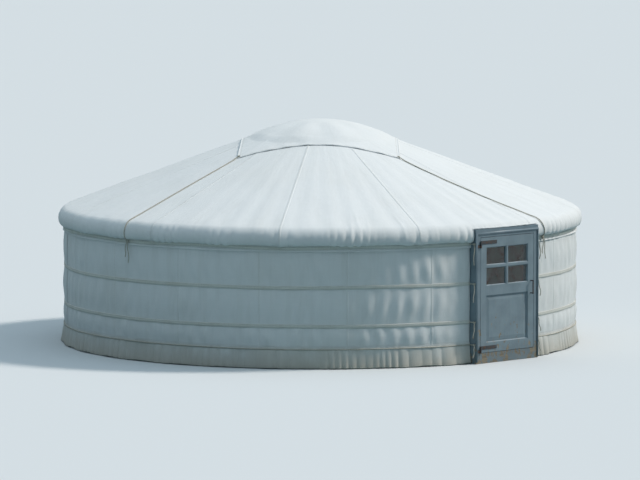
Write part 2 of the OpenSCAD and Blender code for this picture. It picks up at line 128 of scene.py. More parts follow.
# %% Helpers for cords and for joining parts
def tube(path, normals, radius, corners=8, closed=False):
    """A round cord: each ring is p + radius (cos t n + sin t b), where n is the normal made square to
    the path's direction d, and b is d x n. Open ends are closed by one many-sided face each."""
    path = np.asarray(path, float)
    normals = np.broadcast_to(np.asarray(normals, float), path.shape)
    ahead, behind = np.roll(path, -1, 0), np.roll(path, 1, 0)
    if not closed:
        ahead[-1], behind[0] = path[-1], path[0]
    d = ahead - behind
    d /= np.linalg.norm(d, axis=1)[:, None]
    n = normals - (normals * d).sum(1)[:, None] * d
    n /= np.linalg.norm(n, axis=1)[:, None]
    b = np.cross(d, n)
    t = np.linspace(0, 2 * np.pi, corners, endpoint=False)
    ring = np.cos(t)[None, :, None] * n[:, None] + np.sin(t)[None, :, None] * b[:, None]
    points = (path[:, None] + radius * ring).reshape(-1, 3)
    faces = grid_faces(len(path), corners, closed=True)[:, ::-1].tolist()
    along = np.concatenate([[0], np.cumsum(np.linalg.norm(np.diff(path, axis=0), axis=1))])
    uv = np.stack(np.broadcast_arrays(t[None] / (2 * np.pi), along[:, None]), -1).reshape(-1, 2)
    if closed:
        last = (len(path) - 1) * corners
        k = np.arange(corners)
        join = np.stack([last + k, k, (k + 1) % corners, last + (k + 1) % corners], -1)
        faces += join.tolist()
    else:
        far_end = np.arange(len(points) - 1, len(points) - 1 - corners, -1)
        faces += [list(range(corners)), far_end.tolist()]
    return points, faces, uv


def joined(parts):
    """One set of points, faces and UVs out of several, each part's numbers moved past those before it."""
    points, faces, uvs, start = [], [], [], 0
    for p, f, uv in parts:
        points.append(p)
        uvs.append(uv)
        faces += [[v + start for v in face] for face in f]
        start += len(p)
    return np.concatenate(points), faces, np.concatenate(uvs)


# %% Helper that makes a piece
def piece(name, made, material, body="ger", smooth=True, stands_for=()):
    """Puts points, faces and UVs into a mesh, gives it its finish and lets it ride on its body."""
    points, faces, uv = made
    mesh = bpy.data.meshes.new(name)
    mesh.from_pydata(np.asarray(points).tolist(), [], faces)
    corners = np.empty(len(mesh.loops), np.int32)
    mesh.loops.foreach_get("vertex_index", corners)
    layer = mesh.uv_layers.new(name="UVMap")
    layer.data.foreach_set("uv", np.asarray(uv, np.float32)[corners].ravel())
    mesh.polygons.foreach_set("use_smooth", np.full(len(mesh.polygons), smooth))
    mesh.materials.append(material)
    made_object = bpy.data.objects.new(name, mesh)
    bpy.context.scene.collection.objects.link(made_object)
    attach(made_object, body)
    if stands_for:
        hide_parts(*stands_for)
    print(f"{name}: {len(points)} points, {len(mesh.polygons)} faces")
    return made_object


# %% Waves for cloth
def smooth_step(x, low, high):
    """Rises from 0 at low to 1 at high as 3t^2 - 2t^3."""
    t = np.clip((np.asarray(x, float) - low) / (high - low), 0, 1)
    return t * t * (3 - 2 * t)


def wander(a, count, seed, waves=6, spread=4):
    """A smooth random wave round the yurt: sines of whole-number counts near `count`, so it meets itself."""
    rng = np.random.default_rng(seed)
    counts = count + rng.integers(-spread, spread + 1, waves)
    phases = rng.uniform(0, 2 * np.pi, waves)
    return sum(np.sin(k * a + p) for k, p in zip(counts, phases)) / math.sqrt(waves / 2)


def pleats(a, count, seed):
    """Rounded folds with narrow valleys: |sin| of a wave whose width drifts, raised to the power 0.8."""
    drift = 1.6 * wander(a, 9, seed) + 0.5 * wander(a, 31, seed + 1)
    height = 0.72 + 0.28 * wander(a, 23, seed + 2)
    return np.abs(np.sin(count / 2 * a + drift)) ** 0.8 * height


def ripple(u, v, size, seed, waves=14):
    """Random cloth ripples on a flat place (u, v): plane waves of about one length, in all directions."""
    rng = np.random.default_rng(seed)
    turns = rng.uniform(0, 2 * np.pi, waves)
    k = 2 * np.pi / (size * rng.uniform(0.6, 1.7, waves))
    phases = rng.uniform(0, 2 * np.pi, waves)
    return sum(
        np.sin(w * (u * math.cos(t) + v * math.sin(t)) + p) for w, t, p in zip(k, turns, phases)
    ) / math.sqrt(waves)


# %% [markdown]
# Nodes in short words
#
# Sky, floor and finishes are all trees of shader nodes. A few helpers say them in one line each: add a
# node and join its inputs, calculate, stretch a span onto another, mix two colours, or make noise.


# %% Helpers for node trees
def add(tree, kind, inputs=None, **settings):
    """Adds a node. Inputs maps a socket's name or number to a value, or to another node's output."""
    made = tree.nodes.new(kind)
    for key, value in settings.items():
        setattr(made, key, value)
    for key, value in (inputs or {}).items():
        if isinstance(value, bpy.types.NodeSocket):
            tree.links.new(value, made.inputs[key])
        else:
            made.inputs[key].default_value = value
    return made


def calc(tree, operation, a, b=0.0, c=0.0):
    """The result of a Math node on one to three numbers or sockets."""
    return add(tree, "ShaderNodeMath", {0: a, 1: b, 2: c}, operation=operation).outputs[0]


def ramp(tree, value, low, high, low_gives=0.0, high_gives=1.0):
    """Stretches the span from low to high onto low_gives to high_gives, and holds it there outside."""
    made = add(tree, "ShaderNodeMapRange", {0: value, 1: low, 2: high, 3: low_gives, 4: high_gives})
    return made.outputs[0]


def tint(tree, amount, a, b):
    """Colour a where the amount is 0, colour b where it is 1."""
    return add(tree, "ShaderNodeMix", {0: amount, 6: a, 7: b}, data_type="RGBA").outputs[2]


def noise(tree, vector, scale, detail=4.0, roughness=0.55):
    """Soft noise, about 0 to 1, at so many cells a metre."""
    made = add(tree, "ShaderNodeTexNoise", {"Vector": vector, "Scale": scale, "Detail": detail,
                                            "Roughness": roughness})
    return made.outputs[0]


def stretched(tree, vector, scale):
    """The vector with each axis multiplied by its own number."""
    return add(tree, "ShaderNodeVectorMath", {0: vector, 1: scale}, operation="MULTIPLY").outputs[0]


def parts_of(tree, vector):
    """The three numbers of a vector, as sockets."""
    return add(tree, "ShaderNodeSeparateXYZ", {0: vector}).outputs


def sight_ray(tree):
    """1 for a ray from the camera, off a mirror or through glass, 0 for a ray that only lights."""
    ray = add(tree, "ShaderNodeLightPath").outputs
    mirrored = calc(tree, "MAXIMUM", ray["Is Camera Ray"], ray["Is Glossy Ray"])
    return calc(tree, "MAXIMUM", mirrored, ray["Is Transmission Ray"])


# %% [markdown]
# The camera and the light
#
# The photograph was taken from far away and a little above, with the door turned well to the right.
# A long lens at the same angle gives the same flat, quiet outline. A warm sun from the right and slightly
# behind leaves the wall at the front left in shade. A weak lamp under the crown stands for the daylight
# that the thin flap lets through into the room.


# %% Camera
def stand_in_scene(name, data, turned, raised):
    """An object that looks back along the direction turned from the doorway and raised from level."""
    made = bpy.data.objects.new(name, data)
    bpy.context.scene.collection.objects.link(made)
    towards = around(turned, math.cos(raised), math.sin(raised))
    made.rotation_mode = "QUATERNION"
    made.rotation_quaternion = Vector((-towards).tolist()).to_track_quat("-Z", "Y")
    return made, towards


camera_turned, camera_raised, camera_far = math.radians(-44), math.radians(5.3), 57.0
aim = np.array([0.0, 0.0, 1.16])
camera, towards = stand_in_scene("camera", bpy.data.cameras.new("camera"), camera_turned, camera_raised)
camera.location = (aim + towards * camera_far).tolist()
camera.data.sensor_width, camera.data.lens = 36, 275
camera.data.clip_start, camera.data.clip_end = 1, 1000
bpy.context.scene.camera = camera
bpy.context.scene.view_settings.view_transform = "Standard"
print("camera at", [round(v, 2) for v in camera.location])

# %% Sun and crown light
sun_turned, sun_raised = camera_turned + math.radians(100), math.radians(45)
sun, sun_from = stand_in_scene("sun", bpy.data.lights.new("sun", "SUN"), sun_turned, sun_raised)
sun.data.energy, sun.data.angle = 2.2, math.radians(9)
sun.data.color = (1.0, 0.95, 0.88)
crown_lamp = bpy.data.lights.new("crown_light", "AREA")
crown_light, _ = stand_in_scene("crown_light", crown_lamp, 0.0, math.radians(90))
crown_light.location = (0, 0, 2.1)
crown_lamp.shape, crown_lamp.size = "DISK", 1.1
crown_lamp.energy, crown_lamp.color = 3.5, (1.0, 0.96, 0.88)
print("sun from", np.round(sun_from, 3))

# %% [markdown]
# The sky
#
# The sky's light is blue and grows with the square of the height, so it reaches the roof more than the
# wall, and it makes the shaded wall look cool. What the camera sees behind the object is one pale tone,
# the floor's own, so that no horizon shows.

# %% Sky
pale, sky_blue = (0.68, 0.75, 0.79, 1), (0.68, 0.87, 1.0, 1)
level_strength, overhead_strength = 0.09, 1.07
world = bpy.data.worlds.new("sky")
world.use_nodes = True
tree = world.node_tree
tree.nodes.clear()
seen = add(tree, "ShaderNodeBackground", {"Color": pale, "Strength": 1.0})
way_up = parts_of(tree, add(tree, "ShaderNodeTexCoord").outputs["Generated"])[2]
up = ramp(tree, way_up, 0.0, 1.0)
strength = ramp(tree, calc(tree, "MULTIPLY", up, up), 0.0, 1.0, level_strength, overhead_strength)
fill = add(tree, "ShaderNodeBackground", {"Color": sky_blue, "Strength": strength})
sky = add(tree, "ShaderNodeMixShader", {0: sight_ray(tree), 1: fill.outputs[0], 2: seen.outputs[0]})
add(tree, "ShaderNodeOutputWorld", {"Surface": sky.outputs[0]})
bpy.context.scene.world = world
print("sky", world.name)

# %% [markdown]
# The floor of the studio
#
# A wide pale disc catches the shadow. Seen by the camera it is pale, but it passes on less light than
# it shows, and cooler light, as grass would, so the shaded side of the wall keeps its depth.

# %% Floor disc
floor_rings = np.concatenate([[0.0], np.geomspace(2, 400, 14)])
floor_turn = np.linspace(0, 2 * np.pi, 96, endpoint=False)
floor_points = around(floor_turn[None], floor_rings[::-1, None], -0.002)
floor_faces = grid_faces(len(floor_rings), len(floor_turn), closed=True)
floor_mesh = bpy.data.meshes.new("studio_floor")
floor_mesh.from_pydata(floor_points.reshape(-1, 3).tolist(), [], floor_faces.tolist())
floor = bpy.data.objects.new("studio_floor", floor_mesh)
bpy.context.scene.collection.objects.link(floor)
floor_finish = bpy.data.materials.new("studio_floor")
floor_finish.use_nodes = True
tree = floor_finish.node_tree
tree.nodes.clear()
bright = add(tree, "ShaderNodeBsdfDiffuse", {"Color": (0.74, 0.75, 0.76, 1)})
dull = add(tree, "ShaderNodeBsdfDiffuse", {"Color": (0.21, 0.30, 0.32, 1)})
both = add(tree, "ShaderNodeMixShader", {0: sight_ray(tree), 1: dull.outputs[0], 2: bright.outputs[0]})
add(tree, "ShaderNodeOutputMaterial", {"Surface": both.outputs[0]})
floor_mesh.materials.append(floor_finish)
print("floor disc", len(floor_faces), "faces")

# %% [markdown]
# Effects that several finishes share
#
# Each effect is a node group with named inputs and outputs, so that a finish only says how much of it
# there is. A group gives colours, masks and heights, and the shader stays in the finish itself.


# %% Starting a group
def new_group(name, inputs, outputs):
    """An empty shader node group with named sockets. Returns its tree, what it is given and a function
    that joins a socket to one of its outputs."""
    made = bpy.data.node_groups.new(name, "ShaderNodeTree")
    for label, kind, value in inputs:
        socket = made.interface.new_socket(label, in_out="INPUT", socket_type=f"NodeSocket{kind}")
        socket.default_value = value
    for label in outputs:
        made.interface.new_socket(label, in_out="OUTPUT", socket_type="NodeSocketFloat")
    given, gives = made.nodes.new("NodeGroupInput").outputs, made.nodes.new("NodeGroupOutput").inputs
    print(f"group {name}: {', '.join(outputs)}")
    return made, given, lambda label, socket: made.links.new(socket, gives[label])


# %% [markdown]
# Weave
#
# Two families of threads cross in plain cloth. The height is the larger of two rows of rounded ridges,
# one row for each family, and soft noise drawn out along the threads gives thick and thin ones.

# %% Weave group
weave, given, give = new_group(
    "weave",
    [("Place", "Vector", (0, 0, 0)), ("Threads per metre", "Float", 500.0), ("Unevenness", "Float", 0.5)],
    ["Height", "Shade"],
)
along, across, _ = parts_of(weave, given["Place"])
turns = calc(weave, "MULTIPLY", given["Threads per metre"], math.pi)
warp, weft = (
    calc(weave, "ABSOLUTE", calc(weave, "SINE", calc(weave, "MULTIPLY", way, turns)))
    for way in (along, across)
)
slub = noise(weave, stretched(weave, given["Place"], (60, 6, 60)), 1.0, 3)
slub_across = noise(weave, stretched(weave, given["Place"], (6, 60, 60)), 1.0, 3)
slubs = calc(weave, "ADD", slub, slub_across)
uneven = calc(weave, "MULTIPLY", slubs, given["Unevenness"])
give("Height", calc(weave, "ADD", calc(weave, "MAXIMUM", warp, weft), uneven))
give("Shade", ramp(weave, slubs, 0.7, 1.3))

# %% [markdown]
# Weather
#
# Dust gathers towards the ground, up to a height that wanders. Rain draws streaks down the cloth: noise
# on the outward direction, much finer round the yurt than down it. Old water leaves faint blotches.

# %% Weather group
weather, given, give = new_group(
    "weather",
    [("Place", "Vector", (0, 0, 0)), ("Dust height", "Float", 0.3), ("Streak size", "Float", 7.0)],
    ["Dust", "Streaks", "Blotches"],
)
east, north, height = parts_of(weather, given["Place"])
rough_edge = calc(weather, "MULTIPLY", noise(weather, given["Place"], 3.5, 6), 2.0)
reach = calc(weather, "MULTIPLY", given["Dust height"], rough_edge)
dust = calc(weather, "SUBTRACT", 1.0, calc(weather, "DIVIDE", height, calc(weather, "MAXIMUM", reach, 0.01)))
give("Dust", ramp(weather, dust, 0.0, 1.0))
flat_place = add(weather, "ShaderNodeCombineXYZ", {0: east, 1: north}).outputs[0]
outward = add(weather, "ShaderNodeVectorMath", {0: flat_place}, operation="NORMALIZE").outputs[0]
spun = add(weather, "ShaderNodeVectorMath", {0: outward, "Scale": 3.0}, operation="SCALE").outputs[0]
spun_east, spun_north, _ = parts_of(weather, spun)
from_middle = add(weather, "ShaderNodeVectorMath", {0: flat_place}, operation="LENGTH").outputs["Value"]
down = calc(weather, "MULTIPLY", calc(weather, "SUBTRACT", from_middle, height), 0.12)
streak_place = add(weather, "ShaderNodeCombineXYZ", {0: spun_east, 1: spun_north, 2: down}).outputs[0]
give("Streaks", ramp(weather, noise(weather, streak_place, given["Streak size"], 5, 0.65), 0.48, 0.75))
give("Blotches", ramp(weather, noise(weather, given["Place"], 1.3, 5), 0.45, 0.7))

# %% [markdown]
# Fibres
#
# Felt is a mat of pressed hair. Fine noise drawn out one way gives the hairs, rounder noise the lumps
# of the mat, and a few long spots are flecks of darker wool.

# %% Fibres group
fibres, given, give = new_group("fibres", [("Place", "Vector", (0, 0, 0))], ["Height", "Flecks"])
hair = noise(fibres, stretched(fibres, given["Place"], (40, 160, 90)), 1.0, 4, 0.7)
mat = noise(fibres, given["Place"], 22.0, 6, 0.6)
fleck = noise(fibres, stretched(fibres, given["Place"], (70, 25, 70)), 1.0, 2)
give("Height", calc(fibres, "ADD", hair, mat))
give("Flecks", ramp(fibres, fleck, 0.6, 0.72))

# %% [markdown]
# Grain
#
# Wood is noise drawn out along the plank: broad bands of tone, with fine pores in them. Along says how
# many cells there are to a metre on each axis, so the axis with the smallest number is the plank's.

# %% Grain group
grain, given, give = new_group(
    "grain",
    [("Place", "Vector", (0, 0, 0)), ("Along", "Vector", (4, 60, 60))],
    ["Tone", "Height"],
)
run = stretched(grain, given["Place"], given["Along"])
bands, pores = noise(grain, run, 1.0, 5, 0.6), noise(grain, run, 6.0, 2, 0.5)
give("Tone", ramp(grain, bands, 0.35, 0.65))
give("Height", calc(grain, "MULTIPLY_ADD", pores, 0.4, bands))

# %% [markdown]
# Stitches
#
# A lapped seam has two rows of short threads, 7 mm apart. Each thread draws a small furrow into the
# cloth. The mask is a band round each row, cut into dashes by the place along the row.

# %% Stitches group
row_off_middle, stitch_step = 0.0035, 0.0075
thread_edge, thread_core, furrow_half = 0.0011, 0.0006, 0.0028
stitches, given, give = new_group(
    "stitches",
    [("Across", "Float", 0.0), ("Along", "Float", 0.0)],
    ["Thread", "Height"],
)
off_middle = calc(stitches, "ABSOLUTE", given["Across"])
off_row = calc(stitches, "ABSOLUTE", calc(stitches, "SUBTRACT", off_middle, row_off_middle))
in_step = calc(stitches, "FRACT", calc(stitches, "DIVIDE", given["Along"], stitch_step))
in_dash = ramp(stitches, calc(stitches, "ABSOLUTE", calc(stitches, "SUBTRACT", in_step, 0.5)), 0.36, 0.30)
thread = calc(stitches, "MULTIPLY", ramp(stitches, off_row, thread_edge, thread_core), in_dash)
furrow = ramp(stitches, off_row, furrow_half, 0.0, 0.0, 1.5)
give("Thread", thread)
give("Height", calc(stitches, "SUBTRACT", thread, furrow))

# %% [markdown]
# Worn paint
#
# Paint chips off in flakes with sharp edges. Noise with a sharp step uncovers the wood, and its level
# falls towards the ground, where feet and rain reach. The paint stands a little above the bare wood.

# %% Worn paint group
worn, given, give = new_group(
    "worn paint",
    [("Place", "Vector", (0, 0, 0)), ("Amount", "Float", 0.3), ("Low down", "Float", 0.4)],
    ["Bare", "Edge height", "Dirt"],
)
near_ground = ramp(worn, parts_of(worn, given["Place"])[2], 0.9, 0.1)
chips = noise(worn, stretched(worn, given["Place"], (1, 1, 0.45)), 26.0, 8, 0.72)
more = calc(worn, "MULTIPLY_ADD", near_ground, given["Low down"], given["Amount"])
level = calc(worn, "SUBTRACT", 0.78, calc(worn, "MULTIPLY", more, 0.25))
bare = ramp(worn, calc(worn, "SUBTRACT", chips, level), 0.0, 0.015)
give("Bare", bare)
give("Edge height", calc(worn, "SUBTRACT", 1.0, bare))
give("Dirt", ramp(worn, noise(worn, given["Place"], 5.0, 6), 0.4, 0.75))

# %% [markdown]
# Finishes in general
#
# A finish is a material with one Principled shader. Its even values are set on the shader's sockets, and
# what changes over the surface comes from the groups. Solid pieces read their place in metres, and cloth
# and cords read their UV map, which holds metres along the cloth.


# %% Starting a finish
def new_finish(name, **values):
    """A material with one Principled shader whose even values are set on its own sockets."""
    made = bpy.data.materials.new(name)
    made.use_nodes = True
    made.node_tree.nodes.clear()
    sockets = {name.replace("_", " "): value for name, value in values.items()}
    shader = add(made.node_tree, "ShaderNodeBsdfPrincipled", sockets)
    add(made.node_tree, "ShaderNodeOutputMaterial", {"Surface": shader.outputs[0]})
    return made, made.node_tree, shader


def use(tree, group, inputs):
    """Places a group in a tree, sets or links its inputs, and returns its outputs."""
    return add(tree, "ShaderNodeGroup", inputs, node_tree=group).outputs


def bump(tree, shader, height, strength, distance):
    """Turns a height into the shader's normal."""
    made = add(tree, "ShaderNodeBump", {"Height": height, "Strength": strength, "Distance": distance})
    tree.links.new(made.outputs[0], shader.inputs["Normal"])


def place(tree, kind="Object"):
    """The point's place on the piece: Object for metres in the frame, UV for metres along the cloth."""
    return add(tree, "ShaderNodeTexCoord").outputs[kind]


def patches(tree, vector, scale, detail, low, high, most):
    """A mask of soft dirty patches: noise stretched from low to high, and at most so strong."""
    return ramp(tree, noise(tree, vector, scale, detail), low, high, 0.0, most)


# %% [markdown]
# White canvas
#
# The outer covers are white cotton duck. In the sun it is almost evenly white with a cool cast. Closer
# up there are the weave, small dents where it has been folded away, rain streaks from the crown down,
# faint blotches, and dust near the ground. The same finish is made several times with other amounts,
# and each says where its sewn line runs: along a hem, round the flap's square, or down a seam's middle.


# %% Canvas finishes
threads_per_metre = 420.0
hem_stitch_in = 0.026
flap_half = 1.86 / 2


def canvas_finish(name, colour, dust_height, dirt, sewn):
    """White cotton: its colour goes towards dust, streaks and blotches, its normal has weave and crumple.
    Sewn gives, from the cloth's two UV numbers, the distance across the sewn line and the place along it."""
    made, tree, shader = new_finish(name, Roughness=0.88, Sheen_Weight=0.12, Sheen_Roughness=0.45,
                                    Specular_IOR_Level=0.25)
    where, flat = place(tree), place(tree, "UV")
    worked = use(tree, weave, {"Place": flat, "Threads per metre": threads_per_metre, "Unevenness": 0.45})
    marks = use(tree, weather, {"Place": where, "Dust height": dust_height, "Streak size": 8.0})
    across, along = sewn(tree, *parts_of(tree, flat)[:2])
    stitched = use(tree, stitches, {"Across": across, "Along": along})
    shaded = tuple(c * 0.93 for c in colour[:3]) + (1,)
    base = tint(tree, calc(tree, "MULTIPLY", worked["Shade"], 0.45), colour, shaded)
    base = tint(tree, calc(tree, "MULTIPLY", marks["Streaks"], 0.22 * dirt), base, (0.55, 0.54, 0.50, 1))
    base = tint(tree, calc(tree, "MULTIPLY", marks["Blotches"], 0.16 * dirt), base, (0.66, 0.62, 0.54, 1))
    base = tint(tree, calc(tree, "MULTIPLY", marks["Dust"], 0.62), base, (0.44, 0.38, 0.29, 1))
    base = tint(tree, calc(tree, "MULTIPLY", stitched["Thread"], 0.7), base, (0.50, 0.47, 0.40, 1))
    tree.links.new(base, shader.inputs["Base Color"])
    crumple = noise(tree, stretched(tree, flat, (1.0, 0.6, 1.0)), 14.0, 5, 0.5)
    bumps = calc(tree, "MULTIPLY_ADD", crumple, 7.0, worked["Height"])
    bumps = calc(tree, "MULTIPLY_ADD", stitched["Height"], 2.0, bumps)
    bump(tree, shader, bumps, 0.55, 0.0006)
    return made


def hem_line(height):
    """A sewn line along the cloth's lower edge, at a height above it."""
    return lambda tree, u, v: (calc(tree, "SUBTRACT", v, height), u)


def square_line(tree, u, v):
    """A sewn line round the flap's square, a little inside its edge."""
    far_u, far_v = calc(tree, "ABSOLUTE", u), calc(tree, "ABSOLUTE", v)
    outer = calc(tree, "MAXIMUM", far_u, far_v)
    return calc(tree, "SUBTRACT", outer, flap_half - hem_stitch_in), calc(tree, "MINIMUM", far_u, far_v)


def middle_line(tree, u, v):
    """A sewn line down the middle of a seam's strip."""
    return u, v


roof_white, wall_white = (0.885, 0.885, 0.885, 1), (0.87, 0.875, 0.875, 1)
roof_canvas = canvas_finish("white canvas, roof", roof_white, 0.01, 0.55, hem_line(0.030))
flap_canvas = canvas_finish("white canvas, flap", roof_white, 0.01, 0.5, square_line)
roof_seam_canvas = canvas_finish("white canvas, roof seams", roof_white, 0.01, 0.7, middle_line)
wall_canvas = canvas_finish("white canvas, wall", wall_white, 0.22, 1.0, hem_line(0.250))
wall_seam_canvas = canvas_finish("white canvas, wall seams", wall_white, 0.22, 1.1, middle_line)
skirt_canvas = canvas_finish("white canvas, skirt", (0.80, 0.80, 0.78, 1), 0.3, 1.5, hem_line(0.022))

# %% [markdown]
# Felt
#
# The felt shows only inside, between the laths and poles: grey-white wool with darker hair in it. Its
# colour drifts in soft clouds, because it is made of more than one fleece.

# %% Felt finish
felt_finish, tree, shader = new_finish("pressed wool felt", Roughness=0.95, Sheen_Weight=0.3,
                                       Specular_IOR_Level=0.15)
worked = use(tree, fibres, {"Place": place(tree)})
cloudy = ramp(tree, noise(tree, place(tree), 2.2, 5), 0.35, 0.7)
base = tint(tree, cloudy, (0.60, 0.57, 0.51, 1), (0.47, 0.44, 0.39, 1))
base = tint(tree, calc(tree, "MULTIPLY", worked["Flecks"], 0.45), base, (0.21, 0.18, 0.15, 1))
tree.links.new(base, shader.inputs["Base Color"])
bump(tree, shader, worked["Height"], 0.8, 0.002)

# %% [markdown]
# Rope
#
# A rope is twisted from three strands, which show as slanting bands. On the cord's UVs, once round is 1
# and the length is in metres, so a sine of round + turns x length draws bands that close on themselves.
# The bands give the strands' height for the bump. They also paint the grooves between the strands dark
# and the strand crowns light, which is painted shade.

# %% Rope finish
strands, turns_per_metre = 3, 30.0
rope_finish, tree, shader = new_finish("twisted rope", Roughness=0.9, Specular_IOR_Level=0.2)
round_cord, along_cord, _ = parts_of(tree, place(tree, "UV"))
twisted = calc(tree, "MULTIPLY_ADD", along_cord, turns_per_metre, round_cord)
lay_height_and_groove_shade = calc(tree, "ABSOLUTE", calc(tree, "SINE", calc(tree, "MULTIPLY", twisted, strands * math.pi)))
# painted shade: the colour is dark in the grooves between the strands and light on their crowns
base = tint(tree, lay_height_and_groove_shade, (0.30, 0.27, 0.21, 1), (0.72, 0.69, 0.61, 1))
base = tint(tree, patches(tree, place(tree), 9.0, 4, 0.4, 0.8, 0.4), base, (0.42, 0.38, 0.30, 1))
tree.links.new(base, shader.inputs["Base Color"])
bump(tree, shader, lay_height_and_groove_shade, 0.9, 0.002)

# %% [markdown]
# Belts
#
# The belts are thick woven webbing. It is a coarser weave than the canvas, with a darker line along each
# edge, which is a mask on the distance from the belt's middle.

# %% Belt finish
belt_half, line_in, line_out, line_soft = 0.02, 0.0100, 0.0140, 0.0005
belt_finish, tree, shader = new_finish("woven belt", Roughness=0.86, Sheen_Weight=0.1, Specular_IOR_Level=0.2)
flat = place(tree, "UV")
worked = use(tree, weave, {"Place": flat, "Threads per metre": 260.0, "Unevenness": 0.6})
off_middle = calc(tree, "ABSOLUTE", calc(tree, "SUBTRACT", parts_of(tree, flat)[1], belt_half))
past_inside = ramp(tree, off_middle, line_in - line_soft, line_in + line_soft)
short_of_edge = ramp(tree, off_middle, line_out + line_soft, line_out - line_soft)
line = calc(tree, "MULTIPLY", past_inside, short_of_edge)
base = tint(tree, calc(tree, "MULTIPLY", worked["Shade"], 0.5), (0.80, 0.79, 0.73, 1), (0.62, 0.60, 0.54, 1))
base = tint(tree, calc(tree, "MULTIPLY", line, 0.45), base, (0.30, 0.33, 0.38, 1))
base = tint(tree, patches(tree, place(tree), 4.0, 5, 0.45, 0.8, 0.35), base, (0.45, 0.41, 0.33, 1))
tree.links.new(base, shader.inputs["Base Color"])
bump(tree, shader, worked["Height"], 0.7, 0.001)

# %% [markdown]
# Wood and paint
#
# Laths, poles, posts and crown are round-edged wood in red-brown paint that has faded, the door is
# painted blue-grey, and the floor is bare planed board. Paint that covers wood still shows its grain a
# little. Where it has chipped, the wood under it is lower and paler.


# %% Wood and paint finishes
def wood_finish(name, light, dark, along, roughness=0.62):
    """Bare wood: the tone goes between two colours along the grain, with dirt and a grain bump."""
    made, tree, shader = new_finish(name, Roughness=roughness, Specular_IOR_Level=0.35)
    where = place(tree)
    worked = use(tree, grain, {"Place": where, "Along": along})
    base = tint(tree, worked["Tone"], light, dark)
    base = tint(tree, patches(tree, where, 3.0, 6, 0.45, 0.8, 0.5), base, (0.13, 0.09, 0.06, 1))
    tree.links.new(base, shader.inputs["Base Color"])
    bump(tree, shader, worked["Height"], 0.5, 0.0012)
    return made


def paint_finish(name, colour, under, along, amount, low_down=0.4, roughness=0.45):
    """Paint over wood: chips uncover the wood, dirt dulls it, and grain and chip edges shape the bump."""
    made, tree, shader = new_finish(name, Specular_IOR_Level=0.45)
    where = place(tree)
    worked = use(tree, grain, {"Place": where, "Along": along})
    wear = use(tree, worn, {"Place": where, "Amount": amount, "Low down": low_down})
    faded = tuple(0.75 * c + 0.12 for c in colour[:3]) + (1,)
    soiled = tuple(0.45 * c for c in colour[:3]) + (1,)
    base = tint(tree, calc(tree, "MULTIPLY", worked["Tone"], 0.35), colour, faded)
    base = tint(tree, calc(tree, "MULTIPLY", wear["Dirt"], 0.4), base, soiled)
    base = tint(tree, wear["Bare"], base, tint(tree, worked["Tone"], under, tuple(0.6 * c for c in under)))
    tree.links.new(base, shader.inputs["Base Color"])
    tree.links.new(ramp(tree, wear["Bare"], 0, 1, roughness, 0.85), shader.inputs["Roughness"])
    grain_height = calc(tree, "MULTIPLY", worked["Height"], 0.7)
    heights = calc(tree, "MULTIPLY_ADD", wear["Edge height"], 0.8, grain_height)
    bump(tree, shader, heights, 0.6, 0.0009)
    return made


bare_wood = (0.36, 0.29, 0.21, 1)
deck_finish = wood_finish("floor boards", (0.50, 0.34, 0.19, 1), (0.30, 0.18, 0.09, 1), (40, 2.5, 60), 0.55)
bearer_finish = wood_finish("sawn bearers", (0.43, 0.31, 0.20, 1), (0.25, 0.17, 0.10, 1), (45, 3, 45), 0.8)
lath_finish = paint_finish("lath paint", (0.47, 0.17, 0.07, 1), bare_wood, (30, 30, 12), 0.5, 0.3, 0.55)
pole_finish = paint_finish("pole paint", (0.60, 0.17, 0.05, 1), bare_wood, (9, 9, 30), 0.3, 0.0, 0.4)
crown_finish = paint_finish("crown paint", (0.58, 0.15, 0.05, 1), bare_wood, (14, 14, 30), 0.3, 0.2, 0.4)
door_finish = paint_finish("door paint", (0.23, 0.30, 0.345, 1), bare_wood, (55, 55, 3.5), 0.40, 0.45, 0.42)
frame_finish = paint_finish("frame paint", (0.20, 0.265, 0.31, 1), bare_wood, (50, 50, 4), 0.42, 0.5, 0.42)
sill_finish = paint_finish("sill paint", (0.20, 0.25, 0.28, 1), bare_wood, (3.5, 50, 50), 0.5, 0.6, 0.5)

# %% [markdown]
# Iron and glass
#
# The straps, pins, staples and handle are black forged iron with brown rust in spots, where it shines
# less. The lights are window glass, a little blurred by dust.

# %% Iron finish
iron_finish, tree, shader = new_finish("black iron", Metallic=0.85)
rust = ramp(tree, noise(tree, place(tree), 45.0, 8, 0.7), 0.52, 0.66)
base = tint(tree, rust, (0.075, 0.078, 0.082, 1), (0.20, 0.085, 0.035, 1))
tree.links.new(base, shader.inputs["Base Color"])
tree.links.new(ramp(tree, rust, 0, 1, 0.42, 0.85), shader.inputs["Roughness"])
bump(tree, shader, noise(tree, place(tree), 160.0, 4), 0.5, 0.0006)

# %% Glass finish
glass_finish, tree, shader = new_finish("window glass", Transmission_Weight=1.0, IOR=1.45)
dust_film = ramp(tree, noise(tree, place(tree), 12.0, 6), 0.35, 0.8, 0.03, 0.16)
tree.links.new(dust_film, shader.inputs["Roughness"])
shader.inputs["Base Color"].default_value = (0.80, 0.87, 0.86, 1)
print("finishes", len(bpy.data.materials))

# %% [markdown]
# Finishes for the pieces that stay
#
# A rigid piece of the solid model already has its right shape, so it keeps its mesh and only gets a
# finish in its material slots.

